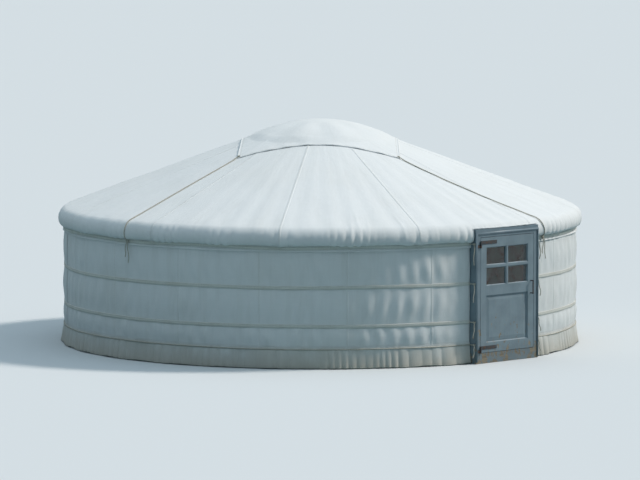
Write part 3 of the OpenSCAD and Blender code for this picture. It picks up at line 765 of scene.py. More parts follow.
# %% Assign the finishes
kept = {
    "floor_bearers": bearer_finish,
    **{f"lattice_{n}": lath_finish for n in range(1, 6)},
    "door_jamb_left": frame_finish,
    "door_jamb_right": frame_finish,
    "door_lintel": frame_finish,
    "door_threshold": sill_finish,
    "door_hinge_pins": iron_finish,
    **{f"roof_poles_{n}": pole_finish for n in range(1, 6)},
    "roof_poles_door": pole_finish,
    "crown_ring": crown_finish,
    "crown_spokes": crown_finish,
    "post_left": crown_finish,
    "post_right": crown_finish,
    **{f"wall_felt_{side}": felt_finish for side in sides},
    **{f"roof_felt_{half}": felt_finish for half in ("front", "back")},
    "door_leaf": door_finish,
    "door_panels": door_finish,
    "door_glass": glass_finish,
    "door_hinge_straps": iron_finish,
    "door_handle": iron_finish,
}
for node_name, finish in kept.items():
    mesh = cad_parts[node_name].data
    mesh.materials.clear()
    mesh.materials.append(finish)
print("finished nodes", len(kept))

# %% [markdown]
# The roof's line
#
# Seen in section the roof cover climbs from its hem straight up, is pinched in by the top belt, swells
# out over the thick edge of the felt in a soft roll, and runs up to the crown in one straight slope. The
# roll is a circle that touches the slope where the solid model's tighter bend does, so the bend lies
# inside it. A rounded line through those points, measured by its length, is carried round the yurt.

# %% Section of the roof cover
roll = 0.138
bend_x = eave_r - eave_bend
bend_z = cover_high.z - (bend_x + eave_bend * math.sin(roof_slope) - hole_r) * roof_fall
bend_z -= eave_bend * math.cos(roof_slope)
roll_x = bend_x - (roll - eave_bend) * math.sin(roof_slope)
roll_z = bend_z - (roll - eave_bend) * math.cos(roof_slope)
roll_turn = np.concatenate([np.radians([114, 106, 98]), np.linspace(math.pi / 2, roof_slope, 15)])
corner_points = np.concatenate(
    [
        [[tuck_r, hem_z], [tuck_r, hem_z + 0.03], [tuck_r, tuck_z - 0.006]],
        np.stack([roll_x + roll * np.sin(roll_turn), roll_z + roll * np.cos(roll_turn)], -1),
        [[hole_r, cover_high.z]],
    ]
)
corner_lengths = np.concatenate([[0], np.cumsum(np.linalg.norm(np.diff(corner_points, axis=0), axis=1))])

# %% Rounded line of the roof cover
fine_lengths = np.linspace(0, corner_lengths[-1], 1401)
smoothed_over = 17
window = np.hanning(smoothed_over) / np.hanning(smoothed_over).sum()
fine_line = []
for corner_values in corner_points.T:
    sharp = np.pad(np.interp(fine_lengths, corner_lengths, corner_values), smoothed_over // 2, mode="edge")
    fine_line.append(np.convolve(sharp, window, "valid"))
fine_line = np.stack(fine_line, -1)
slope_line = np.gradient(fine_line, fine_lengths, axis=0)
slope_line /= np.linalg.norm(slope_line, axis=1)[:, None]
roof_length = fine_lengths[-1]
eave_s = corner_lengths[corner_points[:, 0].argmax()]
print("roof cover, hem to crown", round(roof_length, 3), "m; roll", round(roll_x + roll, 3), "m out")


def on_line(s):
    """At the length s along the roof's line: distance from the middle, height, and the two parts of the
    direction that points outwards."""
    r, z, dr, dz = (np.interp(s, fine_lengths, line) for line in (*fine_line.T, *slope_line.T))
    return r, z, dz, -dr


# %% [markdown]
# How the cloth gives between its supports
#
# Cloth touches the felt between the poles and stands a little higher over each pole: the ridges grow
# towards the eave with the square of the poles' spacing. Below the eave the cut is too wide for the
# wall, and the top belt gathers it into pleats. Each pleat rises from nothing at the bend, is pressed
# flat under the belt, and opens again in the hem. Nothing sinks below the line, where the felt lies.


# %% Ridges over the poles
ridge_high = 0.0065


def pole_ridges(a, r):
    """ridge x (r / eave)^2 x cos^2 of the place between two poles: highest on a pole, nothing midway."""
    turned = np.mod(a, 2 * np.pi)
    ring = np.concatenate([[pole_angles[-1] - 2 * np.pi], pole_angles, [pole_angles[0] + 2 * np.pi]])
    after = np.clip(np.searchsorted(ring, turned), 1, len(ring) - 1)
    part = (turned - ring[after - 1]) / (ring[after] - ring[after - 1])
    return ridge_high * (r / eave_r) ** 2 * np.cos(np.pi * part) ** 2


# %% Creases above the eave
crease_rng = np.random.default_rng(11)
crease_count, crease_wide = 70, 0.018
crease_a = crease_rng.uniform(0, 2 * np.pi, crease_count)
crease_up = crease_rng.uniform(0.12, 0.75, crease_count)
crease_lean = crease_rng.normal(0, 0.035, crease_count)
crease_high = crease_rng.uniform(0.0015, 0.0045, crease_count)


def eave_creases(a, s):
    """Soft ridges that run up the slope from the eave: sum of h exp(-(distance / width)^2), fading uphill."""
    up = s - eave_s
    total = np.zeros(np.broadcast(a, s).shape)
    for centre, length, lean, high in zip(crease_a, crease_up, crease_lean, crease_high):
        away = (np.mod(a - centre - lean * up + np.pi, 2 * np.pi) - np.pi) * roof_cloth_r
        fading = np.clip(1 - up / length, 0, 1) * smooth_step(up, -0.12, 0.02)
        total += high * np.exp(-((away / crease_wide) ** 2)) * fading
    return total


# %% Pleats under the belt, and everything together
pleat_count, pleat_high, hem_hang = 170, 0.0185, 0.004
pressed_half = belt_half + 0.001
pleats_end = 0.16


def roof_push(a, s):
    """How far the cover stands off the roof's line: pleats + creases + ridges over the poles + ripples.
    Under the belt a twentieth of each pleat is left. Below it each pleat is half as high."""
    r = on_line(s)[0]
    over_belt = s - belt_heights[2] + hem_z
    gathered = smooth_step(s, eave_s + pleats_end, eave_s - 0.08)
    gathered = gathered * (0.5 + 0.5 * smooth_step(over_belt, -0.01, 0.01))
    free = 0.05 + 0.95 * smooth_step(np.abs(over_belt), pressed_half, 0.050)
    fold = pleat_high * pleats(a, pleat_count, 5) * gathered * free
    hang = hem_hang * (1 + wander(a, 13, 8)) * smooth_step(s, 0.022, 0)
    on_slope = smooth_step(s, eave_s, eave_s + 0.25)
    loose = 0.0016 * ripple(r * np.sin(a), r * np.cos(a), 0.55, 21)
    push = fold + hang + eave_creases(a, s) + (pole_ridges(a, r) + loose) * on_slope
    return np.maximum(push, -0.001)


def roof_cover(a, s, above=0.0):
    """A point of the cover: the roof's line moved outwards by roof_push and by the height above it."""
    r, z, out_r, out_z = on_line(s)
    off = roof_push(a, s) + above
    return around(a, r + off * out_r, z + off * out_z)


# %% [markdown]
# The two halves of the roof cover
#
# Each half is a sheet of canvas cut to the slope. The front half is notched over the door frame, and
# its side edges lap over the back half. The hem is turned under, so the grid goes on round the lower
# edge for four rows. The faces in the notch are left out of the grid before it becomes a mesh.

# %% Rows of the roof cover, from hem to crown
bound_r = 0.0065
notch_angle = math.asin((lintel_high.x + bound_r + 0.0025) / (eave_r - 0.012))
notch_z = lintel_high.z + bound_r + 0.001
notch_s = float(np.interp(notch_z, fine_line[:, 1], fine_lengths))
row_s = np.concatenate(
    [
        np.linspace(0, notch_s, 27)[:-1],
        np.linspace(notch_s, eave_s + pleats_end, 12)[:-1],
        np.linspace(eave_s + pleats_end, roof_length, 36),
    ]
)
under_s, under_gap = np.array([0.030, 0.012, 0.002]), 0.0045
all_rows = np.concatenate([-under_s, [-0.001], row_s])
print("rows", len(all_rows), "notch up to", round(notch_z, 4), "m")

# %% Roof cover halves
lap_wide, lap_high = 0.055, 0.0045
lap_angle = lap_wide / roof_cloth_r
side_columns, notch_columns = 425, 110


def lap_lift(a):
    """The front half rises near its side edges, where it lies on the back half."""
    side = quarter + lap_angle - np.abs(np.mod(a + np.pi, 2 * np.pi) - np.pi)
    return np.where(side > -1e-9, lap_high * smooth_step(side * roof_cloth_r, 2 * lap_wide, 0.05), 0.0)


def half_cover(columns, lifted=0.0):
    """The roof's line carried through the angles of the columns, with the hem's turned-under layer first."""
    points = roof_cover(columns[None], row_s[:, None], lifted)
    under = roof_cover(columns[None], under_s[:, None], -under_gap)
    fold_line = points[0] - around(columns, under_gap / 2, under_gap / 2)
    grid = np.concatenate([under, fold_line[None], points])
    return cloth(grid, columns[None] * roof_cloth_r, all_rows[:, None])


def without_notch(made, columns):
    """Leaves out the faces whose middle lies over the door frame, and the points that only they used."""
    points, faces, uv = made
    middle_a, middle_s = (columns[:-1] + columns[1:]) / 2, (all_rows[:-1] + all_rows[1:]) / 2
    in_notch = (np.abs(middle_a) < notch_angle)[None] & (middle_s < notch_s)[:, None]
    kept_points, renumbered = np.unique(np.array(faces)[~in_notch.ravel()], return_inverse=True)
    return points[kept_points], renumbered.reshape(-1, 4).tolist(), uv[kept_points]


front_end = quarter + lap_angle
front_columns = np.concatenate(
    [
        np.linspace(-front_end, -notch_angle, side_columns + 1)[:-1],
        np.linspace(-notch_angle, notch_angle, notch_columns + 1)[:-1],
        np.linspace(notch_angle, front_end, side_columns + 1),
    ]
)
back_columns = np.linspace(quarter, 3 * quarter, 2 * side_columns + notch_columns + 1)
front_half = without_notch(half_cover(front_columns, lap_lift(front_columns)[None]), front_columns)
front_cover = piece("roof_cover_front", front_half, roof_canvas,
                    stands_for=("roof_canvas_front",))
back_cover = piece("roof_cover_back", half_cover(back_columns), roof_canvas,
                   stands_for=("roof_canvas_back",))

# %% [markdown]
# The bound edge over the door
#
# Round the notch the cover's edge is bound with a rolled strip. It lies on the lintel and beside the
# jambs, and it hides the gap between cloth and wood. The roll is a tube that goes up one side of the
# notch, along its top and down the other side.

# %% Bound edge of the notch
side_s = np.linspace(0.006, notch_s, 30)
top_a = np.linspace(-notch_angle, notch_angle, 70)[1:-1]
side_a = np.full(len(side_s), notch_angle)
bound_a = np.concatenate([-side_a, top_a, side_a])
bound_s = np.concatenate([side_s, np.full(len(top_a), notch_s), side_s[::-1]])
bound_path = roof_cover(bound_a, bound_s)
bound_out = around(bound_a, on_line(bound_s)[2], on_line(bound_s)[3])
piece("notch_binding", tube(bound_path, bound_out, bound_r, 10), roof_canvas)

# %% [markdown]
# Seams of the roof cover
#
# A cone can't be cut from one width of cloth, so each half is sewn from wedges, lapped and stitched
# twice. A seam stands about two millimetres above the cloth and is as wide as a thumb. Each is a
# narrow strip that follows the cover's own formula, a little higher in its middle than at its edges.

# %% Roof seams
seam_angles = np.radians(np.arange(-172.5, 180, 30))
seam_across = np.array([-0.0135, -0.0115, -0.0065, 0.0065, 0.0115, 0.0135])
seam_high = np.array([-0.0004, 0.0022, 0.0030, 0.0030, 0.0022, -0.0004])


def roof_seam(a0):
    """Six lines along the slope at the angle a0, spaced across it and lifted by the seam's section. They
    have the cover's own rows, so that they never dip under it. Over the door they start at the notch."""
    s = row_s[row_s >= notch_s] if abs(a0) < notch_angle else row_s[1:]
    a = a0 + seam_across[None] / on_line(s[:, None])[0]
    return cloth(roof_cover(a, s[:, None], seam_high[None]), seam_across[None], s[:, None])


piece("roof_seams", joined([roof_seam(a0) for a0 in seam_angles]), roof_seam_canvas)

# %% [markdown]
# The wall covers
#
# Three lengths of canvas go round the wall. They are pulled tight, so the folds are shallow: the cloth
# swells a little between the belts, hangs in faint upright folds that the belts press flat, and shows
# slanting drag lines. At the door frame the edge turns in round the felt. Each end laps over the next.

# %% Shape of the wall's cloth
wall_rows = np.concatenate([np.linspace(0.02, 0.22, 5)[:-1], np.linspace(0.22, 1.32, 62)[:-1],
                            np.linspace(1.32, wall_top, 5)])
wall_row = wall_rows[:, None]
lowest_tie, highest_tie = 0.225, 1.30
felt_back_r = 2.946
wall_edge = math.asin((lintel_high.x + 0.004) / felt_back_r)
wall_span = (2 * math.pi - 2 * wall_edge) / len(sides)


def wall_cover_r(a, z):
    """Distance from the middle: the wall's radius, plus a swelling between belts, plus upright folds."""
    ties = np.array([lowest_tie, *belt_heights[:2], highest_tie])
    below = np.clip(np.searchsorted(ties, z) - 1, 0, 2)
    part = (z - ties[below]) / (ties[below + 1] - ties[below])
    between = np.where((z > ties[0]) & (z < ties[-1]), np.sin(np.pi * np.clip(part, 0, 1)) ** 2, 0)
    swell = between * (0.0055 + 0.0018 * wander(a, 17, 31))
    folds = 0.0042 * (wander(a + 0.012 * np.sin(5 * z), 92, 41, 8, 30) + 0.8) * between**0.5
    drag = 0.0024 * ripple(a * wall_cloth_r + 0.55 * z, 0.35 * z, 0.30, 43) * between**0.5
    return wall_r + 0.0004 + np.maximum(swell + folds + drag, 0)


# %% Wall covers
joint_lap = 0.07
turned_in = np.tile([-0.024, -0.010], (len(wall_rows), 1))


def wall_cover(n):
    """One third of the wall; an edge at the door turns inwards, an edge at a joint laps over the next."""
    start = wall_edge + n * wall_span
    end = start + wall_span + (joint_lap / wall_r if n < 2 else 0)
    a = np.linspace(start, end, 500)
    r = wall_cover_r(a[None], wall_row)
    if n < 2:
        r = r + lap_high * smooth_step(a, end - 0.10 / wall_r, end - 0.06 / wall_r)[None]
    if n == 0:
        a, r = np.r_[start, start, a], np.c_[wall_r + turned_in, r]
    if n == 2:
        a, r = np.r_[a, end, end], np.c_[r, wall_r + turned_in[:, ::-1]]
    return cloth(around(a[None], r, wall_row), a[None] * wall_cloth_r, wall_row)


for n, side in enumerate(sides):
    cover = piece(f"wall_cover_{side}", wall_cover(n), wall_canvas,
                  stands_for=(f"wall_canvas_{side}",))

# %% [markdown]
# Seams of the wall covers
#
# The wall covers are sewn from upright widths of canvas. Their seams are made like those of the roof,
# but a little flatter, and the belts lie over them.

# %% Wall seams
wall_seam_count = 18
wall_seam_step = len(sides) * wall_span / wall_seam_count
wall_seam_z = np.linspace(0.19, 1.33, 90)[:, None]


def wall_seam(a0):
    """Six upright lines at the angle a0, lifted off the cover by three quarters of a roof seam's section."""
    a = a0 + seam_across[None] / wall_r
    r = wall_cover_r(a, wall_seam_z) + 0.75 * seam_high[None]
    return cloth(around(a, r, wall_seam_z), seam_across[None], wall_seam_z)


wall_seam_parts = [wall_seam(wall_edge + (n + 0.5) * wall_seam_step) for n in range(wall_seam_count)]
piece("wall_seams", joined(wall_seam_parts), wall_seam_canvas)

# %% [markdown]
# The skirt round the foot
#
# A band of canvas closes the gap at the ground and is lifted in hot weather. It is gathered under a
# thin rope, and falls from there in loose pleats that grow wider and deeper towards the hem, which is
# turned under and lies on the ground. Dust has browned it.

# %% Base skirts
skirt_top, skirt_foot = skirt_high.z, 0.0015
skirt_down = np.linspace(1, 0, 22)[:, None]
skirt_pleats, skirt_seed = 176, 61


def skirt(n):
    """Down the band t goes from 0 to 1: the radius grows as t^1.6, and the pleats as t^0.7. The rope's
    pinch is a bell curve of t. The hem is turned under: two more rows inside it, one of them higher."""
    start, t = wall_edge + n * wall_span, skirt_down
    a = np.linspace(start, start + wall_span, 620)
    folds = pleats(a, skirt_pleats, skirt_seed)[None]
    pinch = np.exp(-(((t - 0.10) / 0.035) ** 2))
    r = wall_r + 0.0035 + 0.021 * t**1.6 + (0.017 * folds * t**0.7 + 0.003 * folds) * (1 - 0.8 * pinch)
    edge = 0.0035 * (1 + wander(a, 37, 67))[None] * smooth_step(t, 0.75, 1)
    z = np.maximum(skirt_foot + (skirt_top - skirt_foot) * (1 - t) + edge, skirt_foot)
    points = around(a[None], r, z)
    under = points[0] - around(a, 0.0035, 0.0) + [0, 0, 0.001]
    points = np.concatenate([under[None] + [0, 0, 0.02], under[None], points])
    up_cloth = np.concatenate([[[-0.02], [-0.003]], (1 - t) * skirt_top])
    return cloth(points, a[None] * wall_cloth_r, up_cloth)


for n, side in enumerate(sides):
    foot = piece(f"skirt_{side}", skirt(n), skirt_canvas, stands_for=(f"base_skirt_{side}",))

# %% [markdown]
# The flap over the crown
#
# A square cloth is drawn over the crown with its corners to the door, the sides and the back. It lies
# on the bowed beams and sinks a little between them, comes down over the ring and lies on the roof from
# there to its edge. Its place over each point of the square is a height, so the grid is square too, and
# Solidify gives it its two layers. Where it would sink into the roof cover it is set on top of it.

# %% What the flap lies on
flap_t = 0.004
flap_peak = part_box("crown_flap")[1].z - flap_t
bow_r, bow_end, lie_r = 1.79, 0.72, 0.90


def roof_below(x, y):
    """Height of the roof cover's top at a place outside the crown: slope + (push + lap) / cos(slope)."""
    r, a = np.hypot(x, y), np.arctan2(x, -y)
    s = roof_length - (r - hole_r) / math.cos(roof_slope)
    push = roof_push(a, s) + lap_lift(a)
    return cover_high.z - (r - hole_r) * roof_fall + push / math.cos(roof_slope)


def flap_base(r):
    """A bowl's curve over the beams, then a cubic that leaves with its slope and meets the roof's slope."""
    bow = flap_peak - r**2 / (2 * bow_r)
    d = lie_r - bow_end
    t = np.clip((r - bow_end) / d, 0, 1)
    start_z, end_z = flap_peak - bow_end**2 / (2 * bow_r), cover_high.z - (lie_r - hole_r) * roof_fall
    ease = start_z * (2 * t**3 - 3 * t**2 + 1) + end_z * (3 * t**2 - 2 * t**3)
    ease = ease - d * bow_end / bow_r * (t**3 - 2 * t**2 + t) - d * roof_fall * (t**3 - t**2)
    lying = cover_high.z - (r - hole_r) * roof_fall
    return np.where(r <= bow_end, bow, np.where(r < lie_r, ease, lying))


# %% Crown flap
rest_gap = 0.0025
grid_n = 151


def flap_surface(u, v):
    """Height over the square's point (u, v): base - sag + ripples, or the roof's cloth if that is higher.
    On the roof the edge flutters, and the pull of the ropes draws ridges towards the corners."""
    x, y = (u - v) / math.sqrt(2), (u + v) / math.sqrt(2)
    r, a = np.hypot(x, y), np.arctan2(y, x)
    between_beams = np.sin(4 * (a - math.pi / 8)) ** 2
    sag = 0.016 * between_beams * smooth_step(r, 0.2, 0.45) * smooth_step(r, 0.86, 0.68)
    loose = 0.0016 * ripple(u, v, 0.34, 71) * smooth_step(r, 0.15, 0.4) * smooth_step(r, 0.95, 0.8)
    far_u, far_v = np.abs(u), np.abs(v)
    edge, along = np.maximum(far_u, far_v) / flap_half, np.minimum(far_u, far_v) / flap_half
    wave = 1 + np.sin(np.where(far_u > far_v, v, u) * 27 + 2.2 * np.sin(3 * a))
    flutter = 0.0032 * wave * smooth_step(edge, 0.78, 1) * smooth_step(along, 0.95, 0.6)
    near_corner = smooth_step(along, 0.45, 0.9) * smooth_step(edge, 0.45, 0.9)
    drag = 0.0028 * np.sin(38 * (far_u - far_v)) * near_corner
    z = flap_base(r) - sag + loose
    top = roof_below(x, y) + rest_gap
    outside = r > hole_r + 0.01
    z = np.where(outside, np.maximum(z, top), z)
    return np.stack([x, y, z + np.where(outside, flutter + np.maximum(drag, 0), 0)], -1)


def drawn_in(u, v):
    """The cloth's edges curve inwards between the corners: the square shrinks by 2.8% at mid edge."""
    outer, inner = np.maximum(np.abs(u), np.abs(v)), np.minimum(np.abs(u), np.abs(v))
    shrink = 1 - 0.028 * smooth_step(outer, 0.3, flap_half) * (1 - (inner / flap_half) ** 2)
    return u * shrink, v * shrink


side_line = np.linspace(-flap_half, flap_half, grid_n)
flap_u, flap_v = np.meshgrid(side_line, side_line)
flap_grid = cloth(flap_surface(*drawn_in(flap_u, flap_v)), flap_u, flap_v)
flap = piece("flap_cloth", flap_grid, flap_canvas, stands_for=("crown_flap",))
flap_layers = flap.modifiers.new("two layers of canvas", "SOLIDIFY")
flap_layers.thickness, flap_layers.offset = flap_t, 1.0

# %% [markdown]
# The edge of the flap
#
# A cord is sewn into the hem all round, so that the ropes pull on it and not on the cloth. Outside it
# shows as a round edge. It is a closed tube along the square's border, a little above the cloth's foot.

# %% Corded edge
edge_cord_r, edge_lift = 0.0062, 0.0032
edge_t = np.linspace(-1, 1, 95)[:-1]
edge_one = np.ones_like(edge_t)
edge_u = np.concatenate([edge_t, edge_one, -edge_t, -edge_one]) * flap_half
edge_v = np.concatenate([-edge_one, edge_t, edge_one, -edge_t]) * flap_half
edge_path = flap_surface(*drawn_in(edge_u, edge_v)) + [0, 0, edge_lift]
edge_cord = tube(edge_path, [0, 0, 1], edge_cord_r, 8, closed=True)
piece("flap_edge", edge_cord, roof_canvas)

# %% [markdown]
# Ropes of the flap
#
# Four ropes hold the flap: each is tied through its corner, runs down the slope and over the eave, and
# is made fast on the top belt, with its tail hanging. The one over the door slants to the side of the
# frame. A taut rope bridges the valleys of the cloth, so it follows the highest points near its way.

# %% Taut ropes
rope_r = 0.0058
corner_r = math.sqrt(2) * flap_half
bridged = np.linspace(-0.045, 0.045, 7)[:, None] / roof_cloth_r


def rope_rise(a, s):
    """How far a taut rope stands off the roof's line: the largest push within 45 mm of it, smoothed."""
    near = a[None] + bridged
    high = np.max(roof_push(near, s[None]) + lap_lift(near), axis=0)
    weights = np.hanning(13) / np.hanning(13).sum()
    return np.convolve(np.pad(high, 6, mode="edge"), weights, "valid") + rope_r + 0.001


def flap_rope(corner_angle, foot_angle):
    """From the flap's corner down the slope to below the top belt; the angle changes evenly with length."""
    s = np.linspace(roof_length - (corner_r - 0.012 - hole_r) / math.cos(roof_slope),
                    belt_heights[2] - hem_z - 0.02, 130)
    t = np.linspace(0, 1, 130)
    a = corner_angle + (foot_angle - corner_angle) * t
    r, z, out_r, out_z = on_line(s)
    lift = rope_rise(a, s) + 0.008 * smooth_step(t, 0.05, 0.0)
    lift = lift + 0.008 * smooth_step(z, belt_heights[2] + 0.05, belt_heights[2] + 0.024)
    return tube(around(a, r + lift * out_r, z + lift * out_z), around(a, out_r, out_z), rope_r, 8)


# %% Knots and loose ends
def knot(centre, outward, size):
    """A tied knot: a trefoil cord (sin t + 2 sin 2t, cos t - 2 cos 2t, -1.2 sin 3t) drawn to its size."""
    t = np.linspace(0, 2 * np.pi, 40, endpoint=False)
    outward = np.asarray(outward, float) / np.linalg.norm(outward)
    side = np.cross([0, 0, 1], outward)
    side /= np.linalg.norm(side)
    up = np.cross(outward, side)
    across, along = np.sin(t) + 2 * np.sin(2 * t), np.cos(t) - 2 * np.cos(2 * t)
    curve = np.stack([across, along, -1.2 * np.sin(3 * t)], -1)
    path = np.asarray(centre) + size / 3 * (curve @ np.stack([side, up, outward]))
    return tube(path, np.gradient(path, axis=0)[:, [1, 2, 0]] + outward, 0.0052, 6, closed=True)


tie_r = 0.005


def tail(start, outward, side_way, length, seed):
    """A loose rope end: it leaves sideways, falls under its weight and curls a little at its tip."""
    t = np.linspace(0, 1, 26)[:, None]
    outward, side_way = np.asarray(outward, float), np.asarray(side_way, float)
    wave = 0.012 * np.sin(2.4 * np.pi * t + seed) * t
    path = np.asarray(start) + side_way * (0.03 * np.sqrt(t) + wave)
    path = path + outward * (0.006 + 0.004 * np.sin(3 * t)) - np.array([0, 0, 1]) * length * t**1.15
    return tube(path, outward, tie_r, 7)


# %% Four ropes with their knots and ends
front_foot = math.radians(13.2)
corner_and_foot = [(0.0, front_foot), *((n * quarter, n * quarter) for n in (1, 2, 3))]
rope_parts = []
for n, (corner, foot_angle) in enumerate(corner_and_foot):
    rope_parts.append(flap_rope(corner, foot_angle))
    out = around(foot_angle, 1.0, 0.0)
    sideways = np.cross([0, 0, 1], out)
    base = around(foot_angle, tuck_r + 0.026, belt_heights[2] - 0.002)
    rope_parts.append(knot(base, out, 0.017))
    rope_parts.append(tail(base - [0, 0, 0.014], out, sideways, 0.23, n))
    rope_parts.append(tail(base - [0, 0, 0.010], out, -sideways, 0.17, n + 2))
    top = roof_below(*around(corner, corner_r - 0.02, 0.0)[:2]) + 0.015
    on_corner = around(corner, corner_r - 0.02, float(top))
    rope_parts.append(knot(on_corner, around(corner, roof_fall, 1.0), 0.014))
piece("corner_ropes", joined(rope_parts), rope_finish, stands_for=("flap_ropes",))

# %% [markdown]
# Belts
#
# Three belts go right round the wall under tension, from one jamb of the door to the other. They press
# the pleats flat and follow the swelling of the wall. A belt is a flat section with soft edges, carried
# round the wall on the cloth.

# %% Wall belts
belt_thick = 0.0045
belt_section = np.array([[0.0, -1.0], [0.75, -0.97], [1.0, -0.8], [1.0, 0.8], [0.75, 0.97], [0.0, 1.0]])
belt_edge = math.asin((lintel_high.x + 0.008) / wall_r)


def belt(n):
    """A flat section carried round the wall on the cover. It drifts a few millimetres up and down."""
    a = np.linspace(belt_edge, 2 * math.pi - belt_edge, 640)
    middle = belt_heights[n] + 0.003 * wander(a, 7, 80 + n) * smooth_step(np.sin(a / 2), 0.07, 0.3)
    r = wall_r + 0.0012 if n < 2 else tuck_r + 0.0022
    r = r + 0.0008 * wander(a, 41, 90 + n) + 0.0012
    points = around(a[None], r + belt_section[:, :1] * belt_thick, middle + belt_section[:, 1:] * belt_half)
    return cloth(points, a[None] * wall_r, (belt_section[:, 1:] + 1) * belt_half)


piece("belts", joined([belt(n) for n in range(3)]), belt_finish, stands_for=("wall_belts",))

# %% [markdown]
# The rope that gathers the skirt, and the belt ends at the door
#
# A thin rope holds the skirt's top. At the door frame each belt ends in a rope that is drawn through
# an iron staple on the jamb and knotted, so that the belts can be let out and tightened again.

# %% Skirt rope
skirt_rope_z = skirt_top * 0.9
a = np.linspace(belt_edge, 2 * math.pi - belt_edge, 520)
skirt_rope_r = wall_r + 0.0095 + 0.0006 * wander(a, 90, 97)
skirt_rope = around(a, skirt_rope_r, skirt_rope_z + 0.002 * wander(a, 9, 98))
tie_parts = [tube(skirt_rope, around(a, 1.0, 0.0), 0.0055, 7)]

# %% Belt ties and staples
staple_parts = []
tie_t, staple_t = np.linspace(0, 1, 12)[:, None], np.linspace(0, np.pi, 9)[:, None]
for hand in (-1, 1):
    for n, z in enumerate((skirt_rope_z, *belt_heights)):
        wall_side = around(hand * (belt_edge + 0.004), wall_r + (0.012 if n < 3 else 0.019), z)
        staple = np.array([hand * lintel_high.x, jamb_low.y + 0.022, z])
        on_jamb = staple + [hand * 0.007, 0, -0.004]
        path = wall_side + (on_jamb - wall_side) * tie_t + np.array([0, -0.006, 0]) * np.sin(np.pi * tie_t)
        tie_parts.append(tube(path, [0, 0, 1], tie_r, 7))
        tie_parts.append(knot(on_jamb + [hand * 0.004, -0.004, 0], [hand, -0.6, 0], 0.013))
        under_knot, forward, aside = on_jamb - [0, 0.004, 0.01], [hand * 0.4, -0.9, 0], [hand, -0.3, 0]
        tie_parts.append(tail(under_knot, forward, aside, 0.13 + 0.03 * n, n))
        loop = staple + np.sin(staple_t) * [hand * 0.013, 0, 0] + np.cos(staple_t) * [0, 0, 0.016]
        staple_parts.append(tube(loop, [0, 1, 0], 0.0022, 6))
piece("belt_ties", joined(tie_parts), rope_finish)
piece("jamb_staples", joined(staple_parts), iron_finish)

# %% [markdown]
# Rawhide knots
#
# The laths are held by a rawhide knot at every crossing, so that a section folds up like scissors. There
# are hundreds of knots, so each is a low dome of few faces: a profile of three rings, closed by a face.

# %% Places of the crossings
row_grid, step_grid = np.meshgrid(np.arange(rows_of_crossings), np.arange(2 * heads + 1), indexing="ij")
on_crossing = (row_grid + step_grid) % 2 == 1
row_height = (top_cross_z - foot_z) / (rows_of_crossings - 1)
peg_z = np.tile(foot_z + row_grid[on_crossing] * row_height, sections)
peg_a = (section_starts[:, None] + step_grid[on_crossing][None] * head_angle / 2).ravel()
knot_count = len(peg_a)
print("crossings", knot_count)

# %% Rawhide knots on the crossings
lath_face_in = 0.0115
knot_ring = np.linspace(0, 2 * np.pi, 6, endpoint=False)
knot_profile = np.array([[0.0058, 0.0], [0.0052, 0.003], [0.0022, 0.0052]])
knot_rings, ring_points = len(knot_profile), len(knot_ring)
points_each = knot_rings * ring_points
dome_side = knot_profile[:, :1, None] * np.stack([np.cos(knot_ring), np.sin(knot_ring)])[None]
dome_r = lath_r - lath_face_in - knot_profile[:, 1]
dome_a = peg_a[:, None, None] + dome_side[None, :, 0] / lath_r
peg_points = around(dome_a, dome_r[None, :, None], peg_z[:, None, None] + dome_side[None, :, 1])
last_ring = list(range(points_each - ring_points, points_each))
one_knot = grid_faces(knot_rings, ring_points, closed=True)[:, ::-1].tolist() + [last_ring]
knot_faces = [[v + points_each * n for v in face] for n in range(knot_count) for face in one_knot]
hide_finish = wood_finish("rawhide", (0.35, 0.24, 0.13, 1), (0.20, 0.12, 0.07, 1), (60, 60, 60), 0.6)
all_knots = peg_points.reshape(-1, 3), knot_faces, np.zeros((knot_count * points_each, 2))
piece("hide_knots", all_knots, hide_finish)

# %% [markdown]
# Pole loops and lashings
#
# Each pole hangs in a loop of cord from a fork of two lath heads: a ring that lies round the pole's end
# and dips between the heads. Where two sections of the wall meet, a rope is wound round both ends from
# the ground to the top. Its path swings from side to side as it climbs.

# %% Pole loops
loop_t = np.linspace(0, 2 * np.pi, 18, endpoint=False)
fork_r, fork_z = 2.94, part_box("roof_poles_1")[0].z
pole_half = 0.017
looped_r = lath_r - 0.026
looped_z = fork_z + pole_half / math.cos(roof_slope) + (fork_r - looped_r) * roof_fall
loop_parts = []
for pole_a in wall_poles:
    ring = around(pole_a + 0.0195 * np.cos(loop_t) / lath_r, looped_r - 0.004 * np.sin(2 * loop_t),
                  looped_z + 0.021 * np.sin(loop_t) - 0.006)
    loop_parts.append(tube(ring, around(pole_a, 1.0, 0.0), 0.0024, 5, closed=True))
print("pole loops", len(loop_parts))

# %% Section lashings
lash_step = 0.13
lash_z = np.linspace(0.06, top_cross_z + 0.03, 150)
swing = 0.075 * np.sin(lash_z * 2 * np.pi / lash_step)
lash_r = lath_r - 0.016 - 0.004 * np.cos(lash_z * 4 * np.pi / lash_step)
for start in section_starts[1:]:
    path = around(start - seam_angle / 2 + swing / lath_r, lash_r, lash_z)
    loop_parts.append(tube(path, around(start, 1.0, 0.0), 0.003, 5))
piece("frame_lashings", joined(loop_parts), rope_finish)

# %% [markdown]
# Floor boards
#
# The floor is planed boards nailed on bearers. Each board is its own solid with rounded long edges and
# ends that follow the circle, and the gaps between them are as wide as a coin. Bevel rounds the edges.

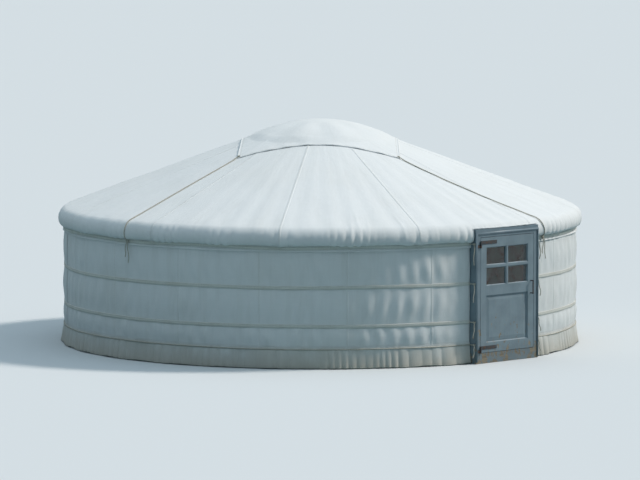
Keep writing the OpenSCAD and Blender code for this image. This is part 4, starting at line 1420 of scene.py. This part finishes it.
# %% Floor boards
board_w, board_gap, rim_gap = 0.118, 0.0025, 0.004
deck_r = floor_high.x
deck_bottom, deck_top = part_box("floor_deck")[0].z, floor_high.z
board_parts = []
for left in np.arange(-deck_r + rim_gap, deck_r - 0.03, board_w):
    right = min(left + board_w - board_gap, deck_r - rim_gap)
    across = np.linspace(left, right, 5)
    reach = np.sqrt(np.maximum(deck_r**2 - across**2, 0.0004))
    outline = np.concatenate([np.stack([across, -reach], -1), np.stack([across, reach], -1)[::-1]])
    count = len(outline)
    points = np.concatenate([np.c_[outline, np.full(count, z)] for z in (deck_bottom, deck_top)])
    k = np.arange(count)
    rim = np.stack([k, (k + 1) % count, (k + 1) % count + count, k + count], -1).tolist()
    faces = [list(range(count))[::-1], list(range(count, 2 * count))] + rim
    board_parts.append((points, faces, points[:, :2].copy()))
boards = piece("floor_boards", joined(board_parts), deck_finish, smooth=False,
               stands_for=("floor_deck",))
soft_edges = boards.modifiers.new("rounded edges", "BEVEL")
soft_edges.width, soft_edges.segments, soft_edges.limit_method = 0.0015, 1, "ANGLE"

# %% [markdown]
# Mouldings and beads of the door
#
# A strip of moulding runs up the frame, over the lintel and down again. Thin beads hold the glass and
# frame the lower panel. A strip is one section carried round a rectangle with mitred corners.


# %% Strips round a rectangle
def strip_round(x0, x1, z0, z1, y, section, open_below=False):
    """Carries a section (across, forward) round a rectangle: each corner's points lie on its mitre."""
    across, forward = np.asarray(section, float).T
    signs = np.array([[-1, -1], [-1, 1], [1, 1], [1, -1]])
    corners = np.array([[x0, z0], [x0, z1], [x1, z1], [x1, z0]])
    if open_below:
        signs[[0, 3], 1] = 0
    x = corners[:, :1] + signs[:, :1] * across[None]
    z = corners[:, 1:] + signs[:, 1:] * across[None]
    points = np.stack([x, np.broadcast_to(y - forward, x.shape), z], -1).reshape(-1, 3)
    count = len(across)
    turns = 3 if open_below else 4
    n, k = np.meshgrid(np.arange(turns), np.arange(count), indexing="ij")
    here, there = n * count, (n + 1) % 4 * count
    after = (k + 1) % count
    faces = np.stack([here + k, here + after, there + after, there + k], -1).reshape(-1, 4).tolist()
    if open_below:
        faces += [list(range(count))[::-1], list(range(3 * count, 4 * count))]
    return points, faces, points[:, [0, 2]].copy()


# %% Moulding of the frame
ovolo = [(0, 0), (0, 0.008), (0.004, 0.013), (0.010, 0.015), (0.017, 0.012), (0.022, 0.005), (0.024, 0)]
trim_x, trim_top, trim_foot = lintel_high.x + 0.004, lintel_high.z - 0.034, 0.02
trim_section = [(x - 0.022, y) for x, y in ovolo]
trim_y = jamb_low.y + 0.001
frame_trim = strip_round(-trim_x, trim_x, trim_foot, trim_top, trim_y, trim_section, open_below=True)
piece("frame_moulding", frame_trim, frame_finish)

# %% Beads round the lights and the panel
bead = [(-0.010, 0.0), (-0.010, 0.003), (-0.006, 0.009), (0.0, 0.012), (0.0, 0.0)]
half_bar = 0.013
glass_middle_z = (glass_low.z + glass_high.z) / 2
panel_edge_y = leaf_low.y + 0.020
light_spans = (glass_low.x, -half_bar), (half_bar, glass_high.x)
light_heights = (glass_low.z, glass_middle_z - half_bar), (glass_middle_z + half_bar, glass_high.z)
bead_parts = [
    strip_round(x0, x1, z0, z1, glass_low.y, bead) for x0, x1 in light_spans for z0, z1 in light_heights
]
bead_parts.append(strip_round(panel_low.x, panel_high.x, panel_low.z, panel_high.z, panel_edge_y, bead))
piece("door_beads", joined(bead_parts), door_finish, body="door", smooth=False)

# %% [markdown]
# Bolt heads on the straps
#
# Three bolts hold each strap to the leaf. A head is a low dome: a ring on the strap, a smaller one proud
# of it, and a face that closes it.

# %% Strap bolts
strap_low, strap_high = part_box("door_hinge_straps")
strap_half, strap_thick = 0.019, 0.005
head_r, head_corners = 0.0075, 8
head_t = np.linspace(0, 2 * np.pi, head_corners, endpoint=False)
ring = np.stack([np.cos(head_t), np.zeros(head_corners), np.sin(head_t)], -1) * head_r
proud = np.array([0, -0.45 * head_r, 0])
head_parts = []
for z in (strap_low.z + strap_half, strap_high.z - strap_half):
    for x in (strap_low.x + 0.07, -0.30, -0.20):
        centre = np.array([x, leaf_low.y - strap_thick, z])
        rings = np.stack([centre + ring, centre + 0.6 * ring + proud])
        points = rings.reshape(-1, 3)
        faces = grid_faces(2, head_corners, closed=True).tolist()
        faces.append(list(range(head_corners, 2 * head_corners)))
        head_parts.append((points, faces, points[:, [0, 2]].copy()))
piece("strap_bolts", joined(head_parts), iron_finish, body="door")
